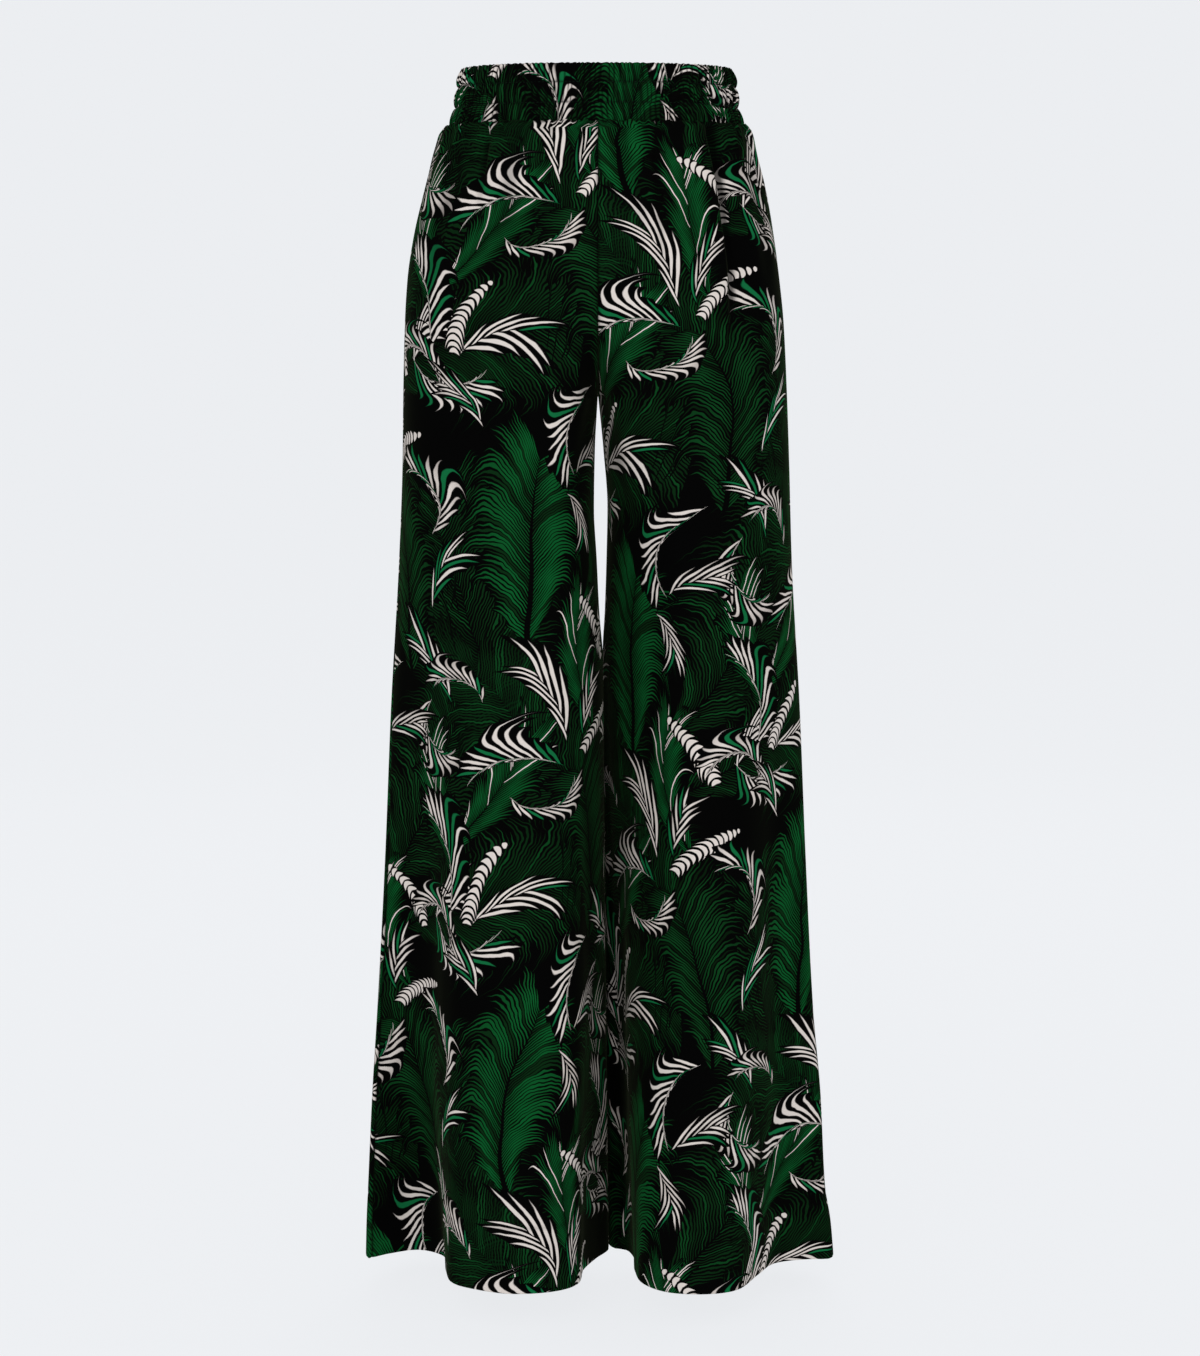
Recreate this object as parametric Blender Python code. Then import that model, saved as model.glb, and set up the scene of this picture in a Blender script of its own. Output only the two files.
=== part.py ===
"""High-waisted palazzo pants, filled out as when worn, hollow inside.

Metres, +Z up, the front faces -Y and the wearer's left is +X. The origin is the middle of the
waistband, on the line of the centre seams. A level is given by its drop below the waist's top
edge, a point on a leg by its own side's distance outwards from the centre seam.
"""

import math
from typing import NamedTuple

import bmesh
import bpy
import numpy as np

# Driving sizes
LENGTH = 1.095  # waist's top edge to hem, down the side
RISE = 0.293  # waist's top edge to the crotch
BAND_DEPTH = 0.051
WAIST_TOP = BAND_DEPTH / 2.0  # height of the waist's top edge over the origin
CROTCH_CURVE = 0.135  # height over which the centre seams turn under into the crotch
PARTING_DROPS = (0.070, 0.520)  # between these the trunk's outline parts into two legs
SEAM_GAP = 0.0003
CLOTH = 0.0016
HEM_CLOTH = 0.0026  # the turned-up hem is two layers
HEM_TURN = 0.060
FOLDS_START = 0.36  # drop at which the hem's folds begin to show
FOLDS_GROWTH = 1.5  # above 1 they grow slowly at first

# How finely the mesh follows the shape
PANEL_COLUMNS = 20
CURVE_POINTS = 240
GATHER_ROWS = (0.0035, 0.010, 0.025, 0.043, 0.065, 0.091)  # drops below a panel's top edge
CURVE_ROWS = 6  # down the crotch curve
LEG_ROWS = 14  # from the crotch to the turned-up hem
INNER_EDGE_PULL = 4.0  # how closely a panel's extra width under the crotch curve keeps to its inner edge
CALM_DROPS = (0.14, 0.46)  # between these the columns' spacing changes evenly
SHARP_DEGREES = 50.0

# Outlines' corners: 2 is an ellipse, more is squarer
FRONT_POWER = 2.35
BACK_POWER = 2.2


class Level(NamedTuple):
    """Size of the whole garment at one level, from the centre seam or the side seam."""

    drop: float
    right: float
    left: float
    front: float
    back: float


LEVELS = (
    Level(0.000, 0.1220, 0.1195, 0.080, 0.084),
    Level(0.012, 0.1250, 0.1230, 0.081, 0.085),
    Level(0.034, 0.1280, 0.1253, 0.084, 0.087),
    Level(0.051, 0.1335, 0.1312, 0.087, 0.090),
    Level(0.055, 0.1402, 0.1380, 0.091, 0.095),
    Level(0.062, 0.1432, 0.1404, 0.094, 0.099),
    Level(0.074, 0.1473, 0.1430, 0.097, 0.104),
    Level(0.110, 0.1572, 0.1520, 0.102, 0.115),
    Level(0.150, 0.1667, 0.1590, 0.106, 0.126),
    Level(0.187, 0.1723, 0.1640, 0.108, 0.131),
    Level(0.225, 0.1748, 0.1680, 0.109, 0.132),
    Level(0.293, 0.1768, 0.1716, 0.108, 0.127),
    Level(0.350, 0.1777, 0.1738, 0.106, 0.120),
    Level(0.438, 0.1814, 0.1767, 0.104, 0.113),
    Level(0.576, 0.1900, 0.1852, 0.103, 0.108),
    Level(0.715, 0.1966, 0.1918, 0.103, 0.106),
    Level(0.860, 0.2052, 0.2000, 0.106, 0.106),
    Level(0.940, 0.2106, 0.2075, 0.108, 0.106),
    Level(1.027, 0.2152, 0.2124, 0.111, 0.107),
    Level(1.062, 0.2170, 0.2180, 0.112, 0.108),
    Level(1.095, 0.2180, 0.2210, 0.113, 0.108),
)


class InnerEdge(NamedTuple):
    """Nearest that each leg comes to the line of the centre seams, below zero where it leans over.

    Lower down the right leg's inner edge lies in front of the left's, so that none shows between.
    """

    drop: float
    right: float
    left: float
    right_forward: float  # the inseam's place, forward of the side seam
    left_forward: float


INNER_EDGES = (
    InnerEdge(0.293, 0.0002, 0.0002, 0.000, 0.000),
    InnerEdge(0.341, 0.0028, 0.0049, 0.003, -0.003),
    InnerEdge(0.394, 0.0036, 0.0086, 0.010, -0.010),
    InnerEdge(0.438, 0.0012, 0.0078, 0.018, -0.018),
    InnerEdge(0.490, -0.0014, 0.0062, 0.025, -0.025),
    InnerEdge(0.530, -0.0046, 0.0042, 0.028, -0.030),
    InnerEdge(0.600, -0.0052, 0.0042, 0.028, -0.032),
    InnerEdge(0.700, -0.0060, 0.0050, 0.026, -0.034),
    InnerEdge(0.860, -0.0076, 0.0064, 0.020, -0.036),
    InnerEdge(1.095, -0.0103, 0.0085, 0.000, -0.040),
)


class Turn(NamedTuple):
    """A turning point of a leg's hem: distance out from the centre seams, and forward of the side seam."""

    out: float
    forward: float


HEM_RIGHT_FRONT = (
    Turn(-0.0103, -0.023),
    Turn(0.0020, 0.010),
    Turn(0.0130, 0.045),
    Turn(0.0185, 0.090),
    Turn(0.0380, 0.110),
    Turn(0.0780, 0.118),
    Turn(0.1130, 0.103),
    Turn(0.1328, 0.085),
    Turn(0.1400, 0.050),
    Turn(0.1455, 0.000),
    Turn(0.1690, -0.020),
    Turn(0.1950, -0.008),
    Turn(0.2140, 0.006),
)
HEM_RIGHT_BACK = (
    Turn(0.2176, -0.004),
    Turn(0.2090, -0.048),
    Turn(0.1800, -0.092),
    Turn(0.1400, -0.110),
    Turn(0.1060, -0.090),
    Turn(0.0840, -0.072),
    Turn(0.0570, -0.094),
    Turn(0.0300, -0.106),
    Turn(0.0090, -0.083),
    Turn(-0.0010, -0.051),
)
HEM_LEFT_FRONT = (
    Turn(0.0085, -0.046),
    Turn(0.0140, -0.026),
    Turn(0.0250, -0.020),
    Turn(0.0325, 0.004),
    Turn(0.0335, 0.050),
    Turn(0.0405, 0.088),
    Turn(0.0620, 0.113),
    Turn(0.0970, 0.119),
    Turn(0.1250, 0.107),
    Turn(0.1470, 0.060),
    Turn(0.1650, 0.023),
    Turn(0.1930, 0.011),
    Turn(0.2165, 0.008),
)
HEM_LEFT_BACK = (
    Turn(0.2205, -0.006),
    Turn(0.2110, -0.050),
    Turn(0.1880, -0.080),
    Turn(0.1600, -0.084),
    Turn(0.1310, -0.102),
    Turn(0.0980, -0.115),
    Turn(0.0640, -0.102),
    Turn(0.0430, -0.078),
    Turn(0.0230, -0.078),
    Turn(0.0115, -0.068),
)


class Side(NamedTuple):
    """What differs between the wearer's right and left."""

    name: str
    sign: float
    hem_front: tuple
    hem_back: tuple
    outseam_forward: float  # how far the outseam lies in front of the widest point


SIDES = (
    Side("right", -1.0, HEM_RIGHT_FRONT, HEM_RIGHT_BACK, 0.018),
    Side("left", 1.0, HEM_LEFT_FRONT, HEM_LEFT_BACK, 0.008),
)


class Fold(NamedTuple):
    """A soft fold that runs down a leg: share of the panel's width at its top and foot, from the centre."""

    panel: str
    top_share: float
    foot_share: float
    top_drop: float
    foot_drop: float
    half_width: float
    height: float  # outwards, below zero for a valley


FOLDS = (
    Fold("front_left", 0.60, 0.62, 0.050, 0.250, 0.011, -0.0075),
    Fold("front_left", 0.50, 0.52, 0.050, 0.200, 0.016, 0.0040),
    Fold("front_left", 0.27, 0.26, 0.070, 0.210, 0.009, -0.0030),
    Fold("front_left", 0.72, 0.86, 0.330, 0.900, 0.030, -0.0070),
    Fold("front_left", 0.38, 0.30, 0.380, 0.820, 0.035, -0.0060),
    Fold("front_right", 0.49, 0.47, 0.050, 0.090, 0.010, 0.0055),
    Fold("front_right", 0.56, 0.55, 0.060, 0.150, 0.009, -0.0035),
    Fold("front_right", 0.30, 0.34, 0.060, 0.220, 0.014, -0.0035),
    Fold("front_right", 0.70, 0.80, 0.380, 0.900, 0.030, -0.0070),
    Fold("front_right", 0.34, 0.26, 0.400, 0.840, 0.034, -0.0060),
    Fold("back_left", 0.45, 0.50, 0.060, 0.240, 0.016, -0.0045),
    Fold("back_left", 0.55, 0.60, 0.300, 0.800, 0.034, -0.0080),
    Fold("back_left", 0.22, 0.25, 0.330, 0.700, 0.026, -0.0050),
    Fold("back_right", 0.52, 0.50, 0.060, 0.220, 0.016, -0.0045),
    Fold("back_right", 0.48, 0.55, 0.310, 0.820, 0.034, -0.0080),
    Fold("back_right", 0.20, 0.22, 0.340, 0.720, 0.026, -0.0050),
)

FOLD_ENDS = 0.7  # below 1 a fold's ends are blunter
# Folds die out before a panel's seams, over these shares of its width
CENTRE_EASE = 0.08
OUTSEAM_EASE = 0.05


class Wave(NamedTuple):
    """One of the waves that add up to the uneven gathers under the waistband."""

    count: float  # in a panel's width
    share: float  # of the gathers' height
    shift: float  # in turns


GATHER_WAVES = (Wave(7.0, 0.5, 0.0), Wave(11.3, 0.3, 0.37), Wave(4.1, 0.2, 0.74))
GATHER_HEIGHT = 0.0022
GATHER_RISE = 0.006  # drop below the band over which they reach their height
GATHER_FADE = 0.050  # drop below the band over which they die out

# Waistband
PUCKERS = 132  # all round
PUCKER_HEIGHT = 0.0013
PUCKER_AT_STITCHING = 0.35  # share of a pucker's height that the stitching leaves
UNEVEN_PUCKERS = 0.25
CHANNEL_SWELL = 0.0014
EDGE_SWELL = 0.35  # share of the swell at the band's own edges
STITCH_DROPS = (0.0168, 0.0346)
BAND_WALL = 0.0016  # thinnest place, at the stitching
BAND_INNER_COLUMNS = 44  # each half

VELVET_GREEN = (0.010, 0.105, 0.038)


# ---------------------------------------------------------------- curves


def smooth_step(share):
    """Rises from 0 to 1 with level ends."""
    share = np.clip(share, 0.0, 1.0)
    return share * share * (3.0 - 2.0 * share)


def along(rows, name, drop):
    """Reads a column of a table of levels at a drop, on a smooth curve that never overshoots."""
    drops = [row.drop for row in rows]
    sizes = [getattr(row, name) for row in rows]
    if drop <= drops[0]:
        return sizes[0]
    if drop >= drops[-1]:
        return sizes[-1]
    steps = np.diff(drops)
    slopes = np.diff(sizes) / steps
    at = int(np.searchsorted(drops, drop, side="right")) - 1

    def tangent(index):
        if index in (0, len(drops) - 1):
            return slopes[min(index, len(slopes) - 1)]
        before, after = slopes[index - 1], slopes[index]
        if before * after <= 0.0:
            return 0.0
        return 2.0 * before * after / (before + after)

    share = (drop - drops[at]) / steps[at]
    square, cube = share**2, share**3
    return float(
        (2 * cube - 3 * square + 1) * sizes[at]
        + (cube - 2 * square + share) * steps[at] * tangent(at)
        + (3 * square - 2 * cube) * sizes[at + 1]
        + (cube - square) * steps[at] * tangent(at + 1)
    )


def rounded(points, count):
    """Smooth closed curve through points, as count points that start at the first."""
    ring = np.asarray(points)
    spans = np.sqrt(np.linalg.norm(np.roll(ring, -1, axis=0) - ring, axis=1))
    knots = np.concatenate([[0.0], np.cumsum(spans)])
    total = knots[-1]
    size = len(ring)
    out = []
    for where in np.linspace(0.0, total, count, endpoint=False):
        at = min(int(np.searchsorted(knots, where, side="right")) - 1, size - 1)
        corners = [ring[(at + step) % size] for step in (-1, 0, 1, 2)]
        times = [knots[at] - spans[at - 1], knots[at], knots[at + 1]]
        times.append(times[2] + spans[(at + 1) % size])
        level = list(corners)
        for depth in (1, 2, 3):
            merged = []
            for index in range(4 - depth):
                low = times[index] if depth < 3 else times[1]
                high = times[index + depth] if depth < 3 else times[2]
                share = (where - low) / (high - low)
                merged.append((1.0 - share) * level[index] + share * level[index + 1])
            level = merged
        out.append(level[0])
    return np.array(out)


def lengths(points):
    """Distance of each point along an open run from its first."""
    return np.concatenate([[0.0], np.cumsum(np.linalg.norm(np.diff(points, axis=0), axis=1))])


def read_run(points, far, at):
    """Points of a run at given distances along it."""
    return np.stack([np.interp(at, far, points[:, axis]) for axis in (0, 1)], axis=1)


def seam_distances(points, forward):
    """Distance of every point along a run, and that of the outseam."""
    far = lengths(points)
    return far, far[int(np.argmax(points[:, 0]))] - forward


def split_run(points, forward, calm=None):
    """Cuts a run at the outseam, and spaces its columns. Returns front and back.

    Under the crotch curve a panel widens fast at its inner edge alone, so calm gives the widths
    that its columns are spaced by, and the columns next to the inner edge take up the rest.
    """
    far, outseam = seam_distances(points, forward)
    widths = (outseam, far[-1] - outseam)
    share = np.linspace(1.0, 0.0, PANEL_COLUMNS + 1)
    parts = []
    for start, width, even, inwards in zip((outseam, outseam), widths, calm or widths, (-1.0, 1.0)):
        away = even * share + (width - even) * share**INNER_EDGE_PULL
        part = read_run(points, far, start + inwards * away)
        parts.append(part if inwards < 0.0 else part[::-1])
    return parts


# ---------------------------------------------------------------- outline of a leg at a level


def worn_run(side, drop):
    """Run round one side at a level without the hem's folds, from the centre front to the centre back.

    The trunk's oval parts slowly into two: the fullest line of each half moves from the centre
    seam to the middle of the leg, and the centre seams sink along the crotch curve between them.
    """
    out = along(LEVELS, side.name, drop)
    inner = along(INNER_EDGES, side.name, drop) if drop >= RISE else 0.0
    forward = along(INNER_EDGES, f"{side.name}_forward", drop) if drop >= RISE else 0.0
    top, foot = PARTING_DROPS
    fullest = (out + inner) / 2.0 * smooth_step((drop - top) / (foot - top))
    sunk = min(max((drop - (RISE - CROTCH_CURVE)) / CROTCH_CURVE, 0.0), 1.0)
    halves = (("front", FRONT_POWER, -1.0), ("back", BACK_POWER, 1.0))
    runs = []
    for name, power, towards in halves:
        depth = along(LEVELS, name, drop) * towards
        inwards = np.linspace(1.0, 0.0, CURVE_POINTS) ** 0.5
        inner_x = fullest - (fullest - inner) * inwards
        inner_y = depth * (1.0 - (sunk * inwards) ** power) ** (1.0 / power) - forward * smooth_step(inwards)
        angles = np.linspace(math.pi / 2.0, 0.0, CURVE_POINTS)[1:]
        outer_x = fullest + (out - fullest) * np.cos(angles) ** (2.0 / power)
        outer_y = depth * np.sin(angles) ** (2.0 / power)
        run = np.stack([np.append(inner_x, outer_x), np.append(inner_y, outer_y)], axis=1)
        runs.append(run if name == "front" else run[::-1][1:])
    return np.concatenate(runs)


def hem_run(side):
    """Run round one leg at the hem, from inseam to inseam."""
    turns = [(turn.out, -turn.forward) for turn in side.hem_front + side.hem_back]
    ring = rounded(turns, 2 * CURVE_POINTS)
    return np.concatenate([ring, ring[:1]])


def calm_widths(side, drop):
    """Widths of the front and back that change evenly past the crotch, or None away from it."""
    above, below = CALM_DROPS
    if not above < drop < below:
        return None
    ends = []
    for level in CALM_DROPS:
        far, outseam = seam_distances(worn_run(side, level), side.outseam_forward)
        ends.append((outseam, far[-1] - outseam))
    share = smooth_step((drop - above) / (below - above))
    return tuple((1.0 - share) * high + share * low for high, low in zip(*ends))


def leg_row(side, drop, hem):
    """Columns of one side at a level: front then back, each from its start to its end."""
    worn = split_run(worn_run(side, drop), side.outseam_forward, calm_widths(side, drop))
    if drop <= FOLDS_START:
        return worn
    share = ((drop - FOLDS_START) / (LENGTH - FOLDS_START)) ** FOLDS_GROWTH
    mixed = [(1.0 - share) * plain + share * folded for plain, folded in zip(worn, hem)]
    low = min(part[:, 0].min() for part in mixed)
    high = max(part[:, 0].max() for part in mixed)
    inner, out = along(INNER_EDGES, side.name, drop), along(LEVELS, side.name, drop)
    for part in mixed:
        part[:, 0] = inner + (part[:, 0] - low) * (out - inner) / (high - low)
    return mixed


def fold_height(panel, share, drop, width):
    """How far a panel's folds and gathers lift it at a place."""
    lift = 0.0
    for fold in FOLDS:
        if fold.panel != panel or not fold.top_drop < drop < fold.foot_drop:
            continue
        run = (drop - fold.top_drop) / (fold.foot_drop - fold.top_drop)
        middle = fold.top_share + run * (fold.foot_share - fold.top_share)
        away = abs(share - middle) * width / fold.half_width
        if away < 2.0:
            lift += fold.height * math.sin(math.pi * run) ** FOLD_ENDS * (1.0 - smooth_step(away / 2.0))
    below = drop - BAND_DEPTH
    if 0.0 < below < GATHER_FADE:
        waves = sum(
            wave.share * math.sin(2.0 * math.pi * (wave.count * share + wave.shift)) for wave in GATHER_WAVES
        )
        fade = min(below / GATHER_RISE, 1.0) * (1.0 - smooth_step(below / GATHER_FADE))
        lift += GATHER_HEIGHT * waves * fade
    return lift


def panel_drops():
    """Levels of the panels' rows, closer together at the gathers, the crotch curve and the hem."""
    top = BAND_DEPTH + SEAM_GAP
    drops = [top] + [top + row for row in GATHER_ROWS]
    curve = RISE - CROTCH_CURVE
    quarter = math.pi / 2.0
    drops += [curve + CROTCH_CURVE * math.sin(quarter * row / CURVE_ROWS) for row in range(CURVE_ROWS + 1)]
    step = (LENGTH - HEM_TURN - RISE) / LEG_ROWS
    drops += [RISE + step * row for row in range(1, LEG_ROWS + 1)]
    drops += [LENGTH - HEM_TURN / 2.0, LENGTH]
    return drops


# ---------------------------------------------------------------- meshes


def unit(vectors):
    """Vectors made one long."""
    return vectors / np.maximum(np.linalg.norm(vectors, axis=-1, keepdims=True), 1e-12)


def leg_grid(side):
    """Outer points, outward normals and directions along the rows, columns running front to back."""
    hem = split_run(hem_run(side), side.outseam_forward)
    grid = []
    for drop in panel_drops():
        front, back = leg_row(side, drop, hem)
        flat = np.concatenate([front, back[1:]])
        closed = drop >= RISE
        outwards = outward_normals(flat, closed)[0]
        for column in range(len(flat)):
            panel = "front" if column <= PANEL_COLUMNS else "back"
            share = column / PANEL_COLUMNS if panel == "front" else 2.0 - column / PANEL_COLUMNS
            width = lengths(front if panel == "front" else back)[-1]
            ease = max(min(share / CENTRE_EASE, (1.0 - share) / OUTSEAM_EASE, 1.0), 0.0)
            lift = fold_height(f"{panel}_{side.name}", share, drop, width) * ease
            flat[column] += outwards[column] * lift
        outwards, across = outward_normals(flat, closed)
        height = np.full((len(flat), 1), WAIST_TOP - drop)
        level = np.zeros((len(flat), 1))
        parts = ((flat, height), (outwards, level), (across, level))
        grid.append([np.hstack(part) * np.array((side.sign, 1.0, 1.0)) for part in parts])
    return (np.array([row[part] for row in grid]) for part in range(3))


def outward_normals(flat, closed):
    """Outward normals of a run in its level, and its directions. The ends of a closed one agree."""
    steps = np.diff(flat, axis=0)
    across = np.vstack([steps[:1], steps[:-1] + steps[1:], steps[-1:]])
    if closed:
        across[0] = across[-1] = steps[0] + steps[-1]
    across = unit(across)
    return np.stack([across[:, 1], -across[:, 0]], axis=1), across


def closed_sheet(name, outer, inner, material):
    """Closed solid between two grids of the same size, outer and inner."""
    rows, columns = outer.shape[:2]
    mesh = bmesh.new()
    skins = [[[mesh.verts.new(point) for point in row] for row in skin] for skin in (outer, inner)]
    front, back = skins
    for row in range(rows - 1):
        for column in range(columns - 1):
            corners = ((row, column), (row + 1, column), (row + 1, column + 1), (row, column + 1))
            mesh.faces.new([front[r][c] for r, c in corners])
            mesh.faces.new([back[r][c] for r, c in reversed(corners)])
    rim = [(0, c) for c in range(columns)] + [(r, columns - 1) for r in range(1, rows)]
    rim += [(rows - 1, c) for c in range(columns - 2, -1, -1)] + [(r, 0) for r in range(rows - 2, 0, -1)]
    for (row, column), (next_row, next_column) in zip(rim, rim[1:] + rim[:1]):
        edge = [skin[row][column] for skin in skins]
        next_edge = [skin[next_row][next_column] for skin in skins]
        mesh.faces.new([edge[0], next_edge[0], next_edge[1], edge[1]])
    return finish_mesh(name, mesh, material)


def finish_mesh(name, mesh, material):
    """Turns a bmesh into a named, smooth-shaded object with its faces pointing out."""
    bmesh.ops.triangulate(mesh, faces=mesh.faces, quad_method="BEAUTY")
    bmesh.ops.recalc_face_normals(mesh, faces=mesh.faces)
    data = bpy.data.meshes.new(name)
    mesh.to_mesh(data)
    mesh.free()
    data.shade_smooth()
    data.set_sharp_from_angle(angle=math.radians(SHARP_DEGREES))
    data.materials.append(material)
    thing = bpy.data.objects.new(name, data)
    bpy.context.scene.collection.objects.link(thing)
    return thing


def build_legs(side):
    """Front and back panels of one side."""
    points, normals, across = leg_grid(side)
    drops = np.array(panel_drops())
    hem = drops > LENGTH - HEM_TURN - SEAM_GAP
    wall = np.where(hem, HEM_CLOTH, CLOTH)[:, None, None]
    half_gap = SEAM_GAP / 2.0
    for panel, columns in (("front", slice(0, PANEL_COLUMNS + 1)), ("back", slice(PANEL_COLUMNS, None))):
        outer = points[:, columns].copy()
        shift = across[:, columns]
        outer[:, 0] += shift[:, 0] * half_gap
        outer[:, -1] -= shift[:, -1] * half_gap
        inner = outer - normals[:, columns] * wall
        centre = 0 if panel == "front" else -1
        for skin in (outer, inner):
            edge = skin[: int(np.argmax(drops >= RISE)) + 1, centre, 0]
            edge[:] = side.sign * np.maximum(edge * side.sign, half_gap)
        name = f"{panel}_{side.name}"
        closed_sheet(name, outer, inner, cloth(name))


def band_ring(drop, count, half):
    """Even points round half of the waistband at a level, from the wearer's right to the left."""
    front = half == "front"
    depth = along(LEVELS, half, drop) * (-1.0 if front else 1.0)
    power = FRONT_POWER if front else BACK_POWER
    angles = np.linspace(0.0, math.pi / 2.0, CURVE_POINTS)
    runs = []
    for sign, name in ((-1.0, "right"), (1.0, "left")):
        width = along(LEVELS, name, drop)
        x = sign * width * np.cos(angles) ** (2.0 / power)
        run = np.stack([x, depth * np.sin(angles) ** (2.0 / power)], axis=1)
        runs.append(run if name == "right" else run[::-1][1:])
    points = np.concatenate(runs)
    far = lengths(points)
    at = np.linspace(SEAM_GAP / 2.0, far[-1] - SEAM_GAP / 2.0, count + 1)
    ring = read_run(points, far, at)
    tangent = unit(np.gradient(ring, axis=0))
    tangent[0], tangent[-1] = (0.0, depth), (0.0, -depth)
    outwards = np.stack([tangent[:, 1], -tangent[:, 0]], axis=1) * (1.0 if front else -1.0)
    return ring, unit(outwards)


def band_rows():
    """Levels of the waistband's rows, with the swell of the wall at each."""
    edges = (0.0, *STITCH_DROPS, BAND_DEPTH)
    rows = [(0.0, EDGE_SWELL)]
    for start, stop in zip(edges, edges[1:]):
        rows += [((start + stop) / 2.0, 1.0), (stop, EDGE_SWELL if stop == BAND_DEPTH else 0.0)]
    return rows


def build_band(half):
    """One half of the waistband: puckered channels outside, a plain wall inside."""
    name = f"waistband_{half}"
    mesh = bmesh.new()
    outer, inner = [], []
    for row, (drop, swell) in enumerate(band_rows()):
        ring, outwards = band_ring(drop, PUCKERS, half)  # two columns a pucker, half of them on a half
        share = PUCKER_AT_STITCHING + (1.0 - PUCKER_AT_STITCHING) * swell
        points = []
        for column, (place, away) in enumerate(zip(ring, outwards)):
            uneven = 1.0 - UNEVEN_PUCKERS * (1.0 - math.sin(2.3 * column + 1.7 * row))
            pucker = PUCKER_HEIGHT * uneven * share if column % 2 else 0.0
            x, y = place + away * (CHANNEL_SWELL * (swell - 0.5) + pucker)
            points.append(mesh.verts.new((x, y, WAIST_TOP - drop)))
        outer.append(points)
    wall = BAND_WALL + CHANNEL_SWELL / 2.0
    for drop in (0.0, BAND_DEPTH / 2.0, BAND_DEPTH):
        ring, outwards = band_ring(drop, BAND_INNER_COLUMNS, half)
        places = np.column_stack([ring - outwards * wall, np.full(len(ring), WAIST_TOP - drop)])
        inner.append([mesh.verts.new(place) for place in places])
    for skin in (outer, inner):
        for upper, lower in zip(skin, skin[1:]):
            for column in range(len(upper) - 1):
                mesh.faces.new((upper[column], lower[column], lower[column + 1], upper[column + 1]))
    for end in (0, -1):
        zip_edges(mesh, outer[end], inner[end])
        zip_edges(mesh, [row[end] for row in outer], [row[end] for row in inner])
    finish_mesh(name, mesh, cloth(name))


def zip_edges(mesh, first, second):
    """Joins two runs of corners, of any counts, with a strip of triangles."""
    a, b = 0, 0
    while a < len(first) - 1 or b < len(second) - 1:
        ahead = (a + 1) / (len(first) - 1), (b + 1) / (len(second) - 1)
        if b == len(second) - 1 or (a < len(first) - 1 and ahead[0] <= ahead[1]):
            mesh.faces.new((first[a], first[a + 1], second[b]))
            a += 1
        else:
            mesh.faces.new((first[a], second[b + 1], second[b]))
            b += 1


def cloth(name):
    """Soft printed velvet, in its main green."""
    material = bpy.data.materials.new(f"velvet_{name}")
    material.use_nodes = True
    shader = material.node_tree.nodes["Principled BSDF"]
    shader.inputs["Base Color"].default_value = (*VELVET_GREEN, 1.0)
    shader.inputs["Roughness"].default_value = 0.85
    shader.inputs["Metallic"].default_value = 0.0
    return material


def main():
    """Clears the scene and builds the six pieces."""
    for thing in list(bpy.data.objects):
        bpy.data.objects.remove(thing, do_unlink=True)
    for side in SIDES:
        build_legs(side)
    for half in ("front", "back"):
        build_band(half)


main()
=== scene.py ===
"""Dresses the palazzo pants in printed velvet and stands them in a pale studio.

Metres, +Z up, the front faces -Y and the wearer's left is +X, as in the frame. A level is given by
its drop below the waist's top edge, and a point on a leg by its own side's distance outwards from
the centre seam. Every panel is a thin shell on the outer face of its solid, with the finer gathers,
creases, seams and hem that the solid leaves out.
"""

import logging
import math
from collections.abc import Sequence
from dataclasses import dataclass
from enum import Enum
from typing import NamedTuple

import bpy
import numpy as np
from mathutils import Matrix, Vector

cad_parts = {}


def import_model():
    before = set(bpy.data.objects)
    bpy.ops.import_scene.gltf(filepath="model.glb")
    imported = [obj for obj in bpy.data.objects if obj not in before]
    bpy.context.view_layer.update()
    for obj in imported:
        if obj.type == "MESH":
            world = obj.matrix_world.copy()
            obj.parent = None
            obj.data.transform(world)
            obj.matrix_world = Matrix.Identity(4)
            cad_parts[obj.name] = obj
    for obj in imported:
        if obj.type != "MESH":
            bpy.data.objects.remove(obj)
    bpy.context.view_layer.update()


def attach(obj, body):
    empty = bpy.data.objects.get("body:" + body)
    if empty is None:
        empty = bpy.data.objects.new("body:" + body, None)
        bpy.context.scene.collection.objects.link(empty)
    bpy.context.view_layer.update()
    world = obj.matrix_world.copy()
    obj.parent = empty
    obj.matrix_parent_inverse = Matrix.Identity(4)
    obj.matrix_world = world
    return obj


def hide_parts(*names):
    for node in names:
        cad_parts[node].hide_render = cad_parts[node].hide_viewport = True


LOG = logging.getLogger("palazzo_pants")

Colour = tuple[float, float, float]
Paint = bpy.types.NodeSocket | Colour  # a colour that is worked out, or a plain one

# ---------------------------------------------------------------- the garment's sizes

LENGTH = 1.095  # waist's top edge to hem, down the side
RISE = 0.293  # waist's top edge to the crotch
BAND_DEPTH = 0.051
WAIST_TOP = BAND_DEPTH / 2.0  # height of the waist's top edge over the origin
SEAM_GAP = 0.0003
CLOTH = 0.0016
HEM_CLOTH = 0.0026  # the turned-up hem is two layers
HEM_TURN = 0.060
CURVE_POINTS = 400
FRONT_POWER = 2.35  # the outline's corners: 2 is an ellipse, more is squarer
BACK_POWER = 2.2


class Level(NamedTuple):
    """Size of the whole garment at one level, from the centre seam or the side seam."""

    drop: float
    right: float
    left: float
    front: float
    back: float


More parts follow.
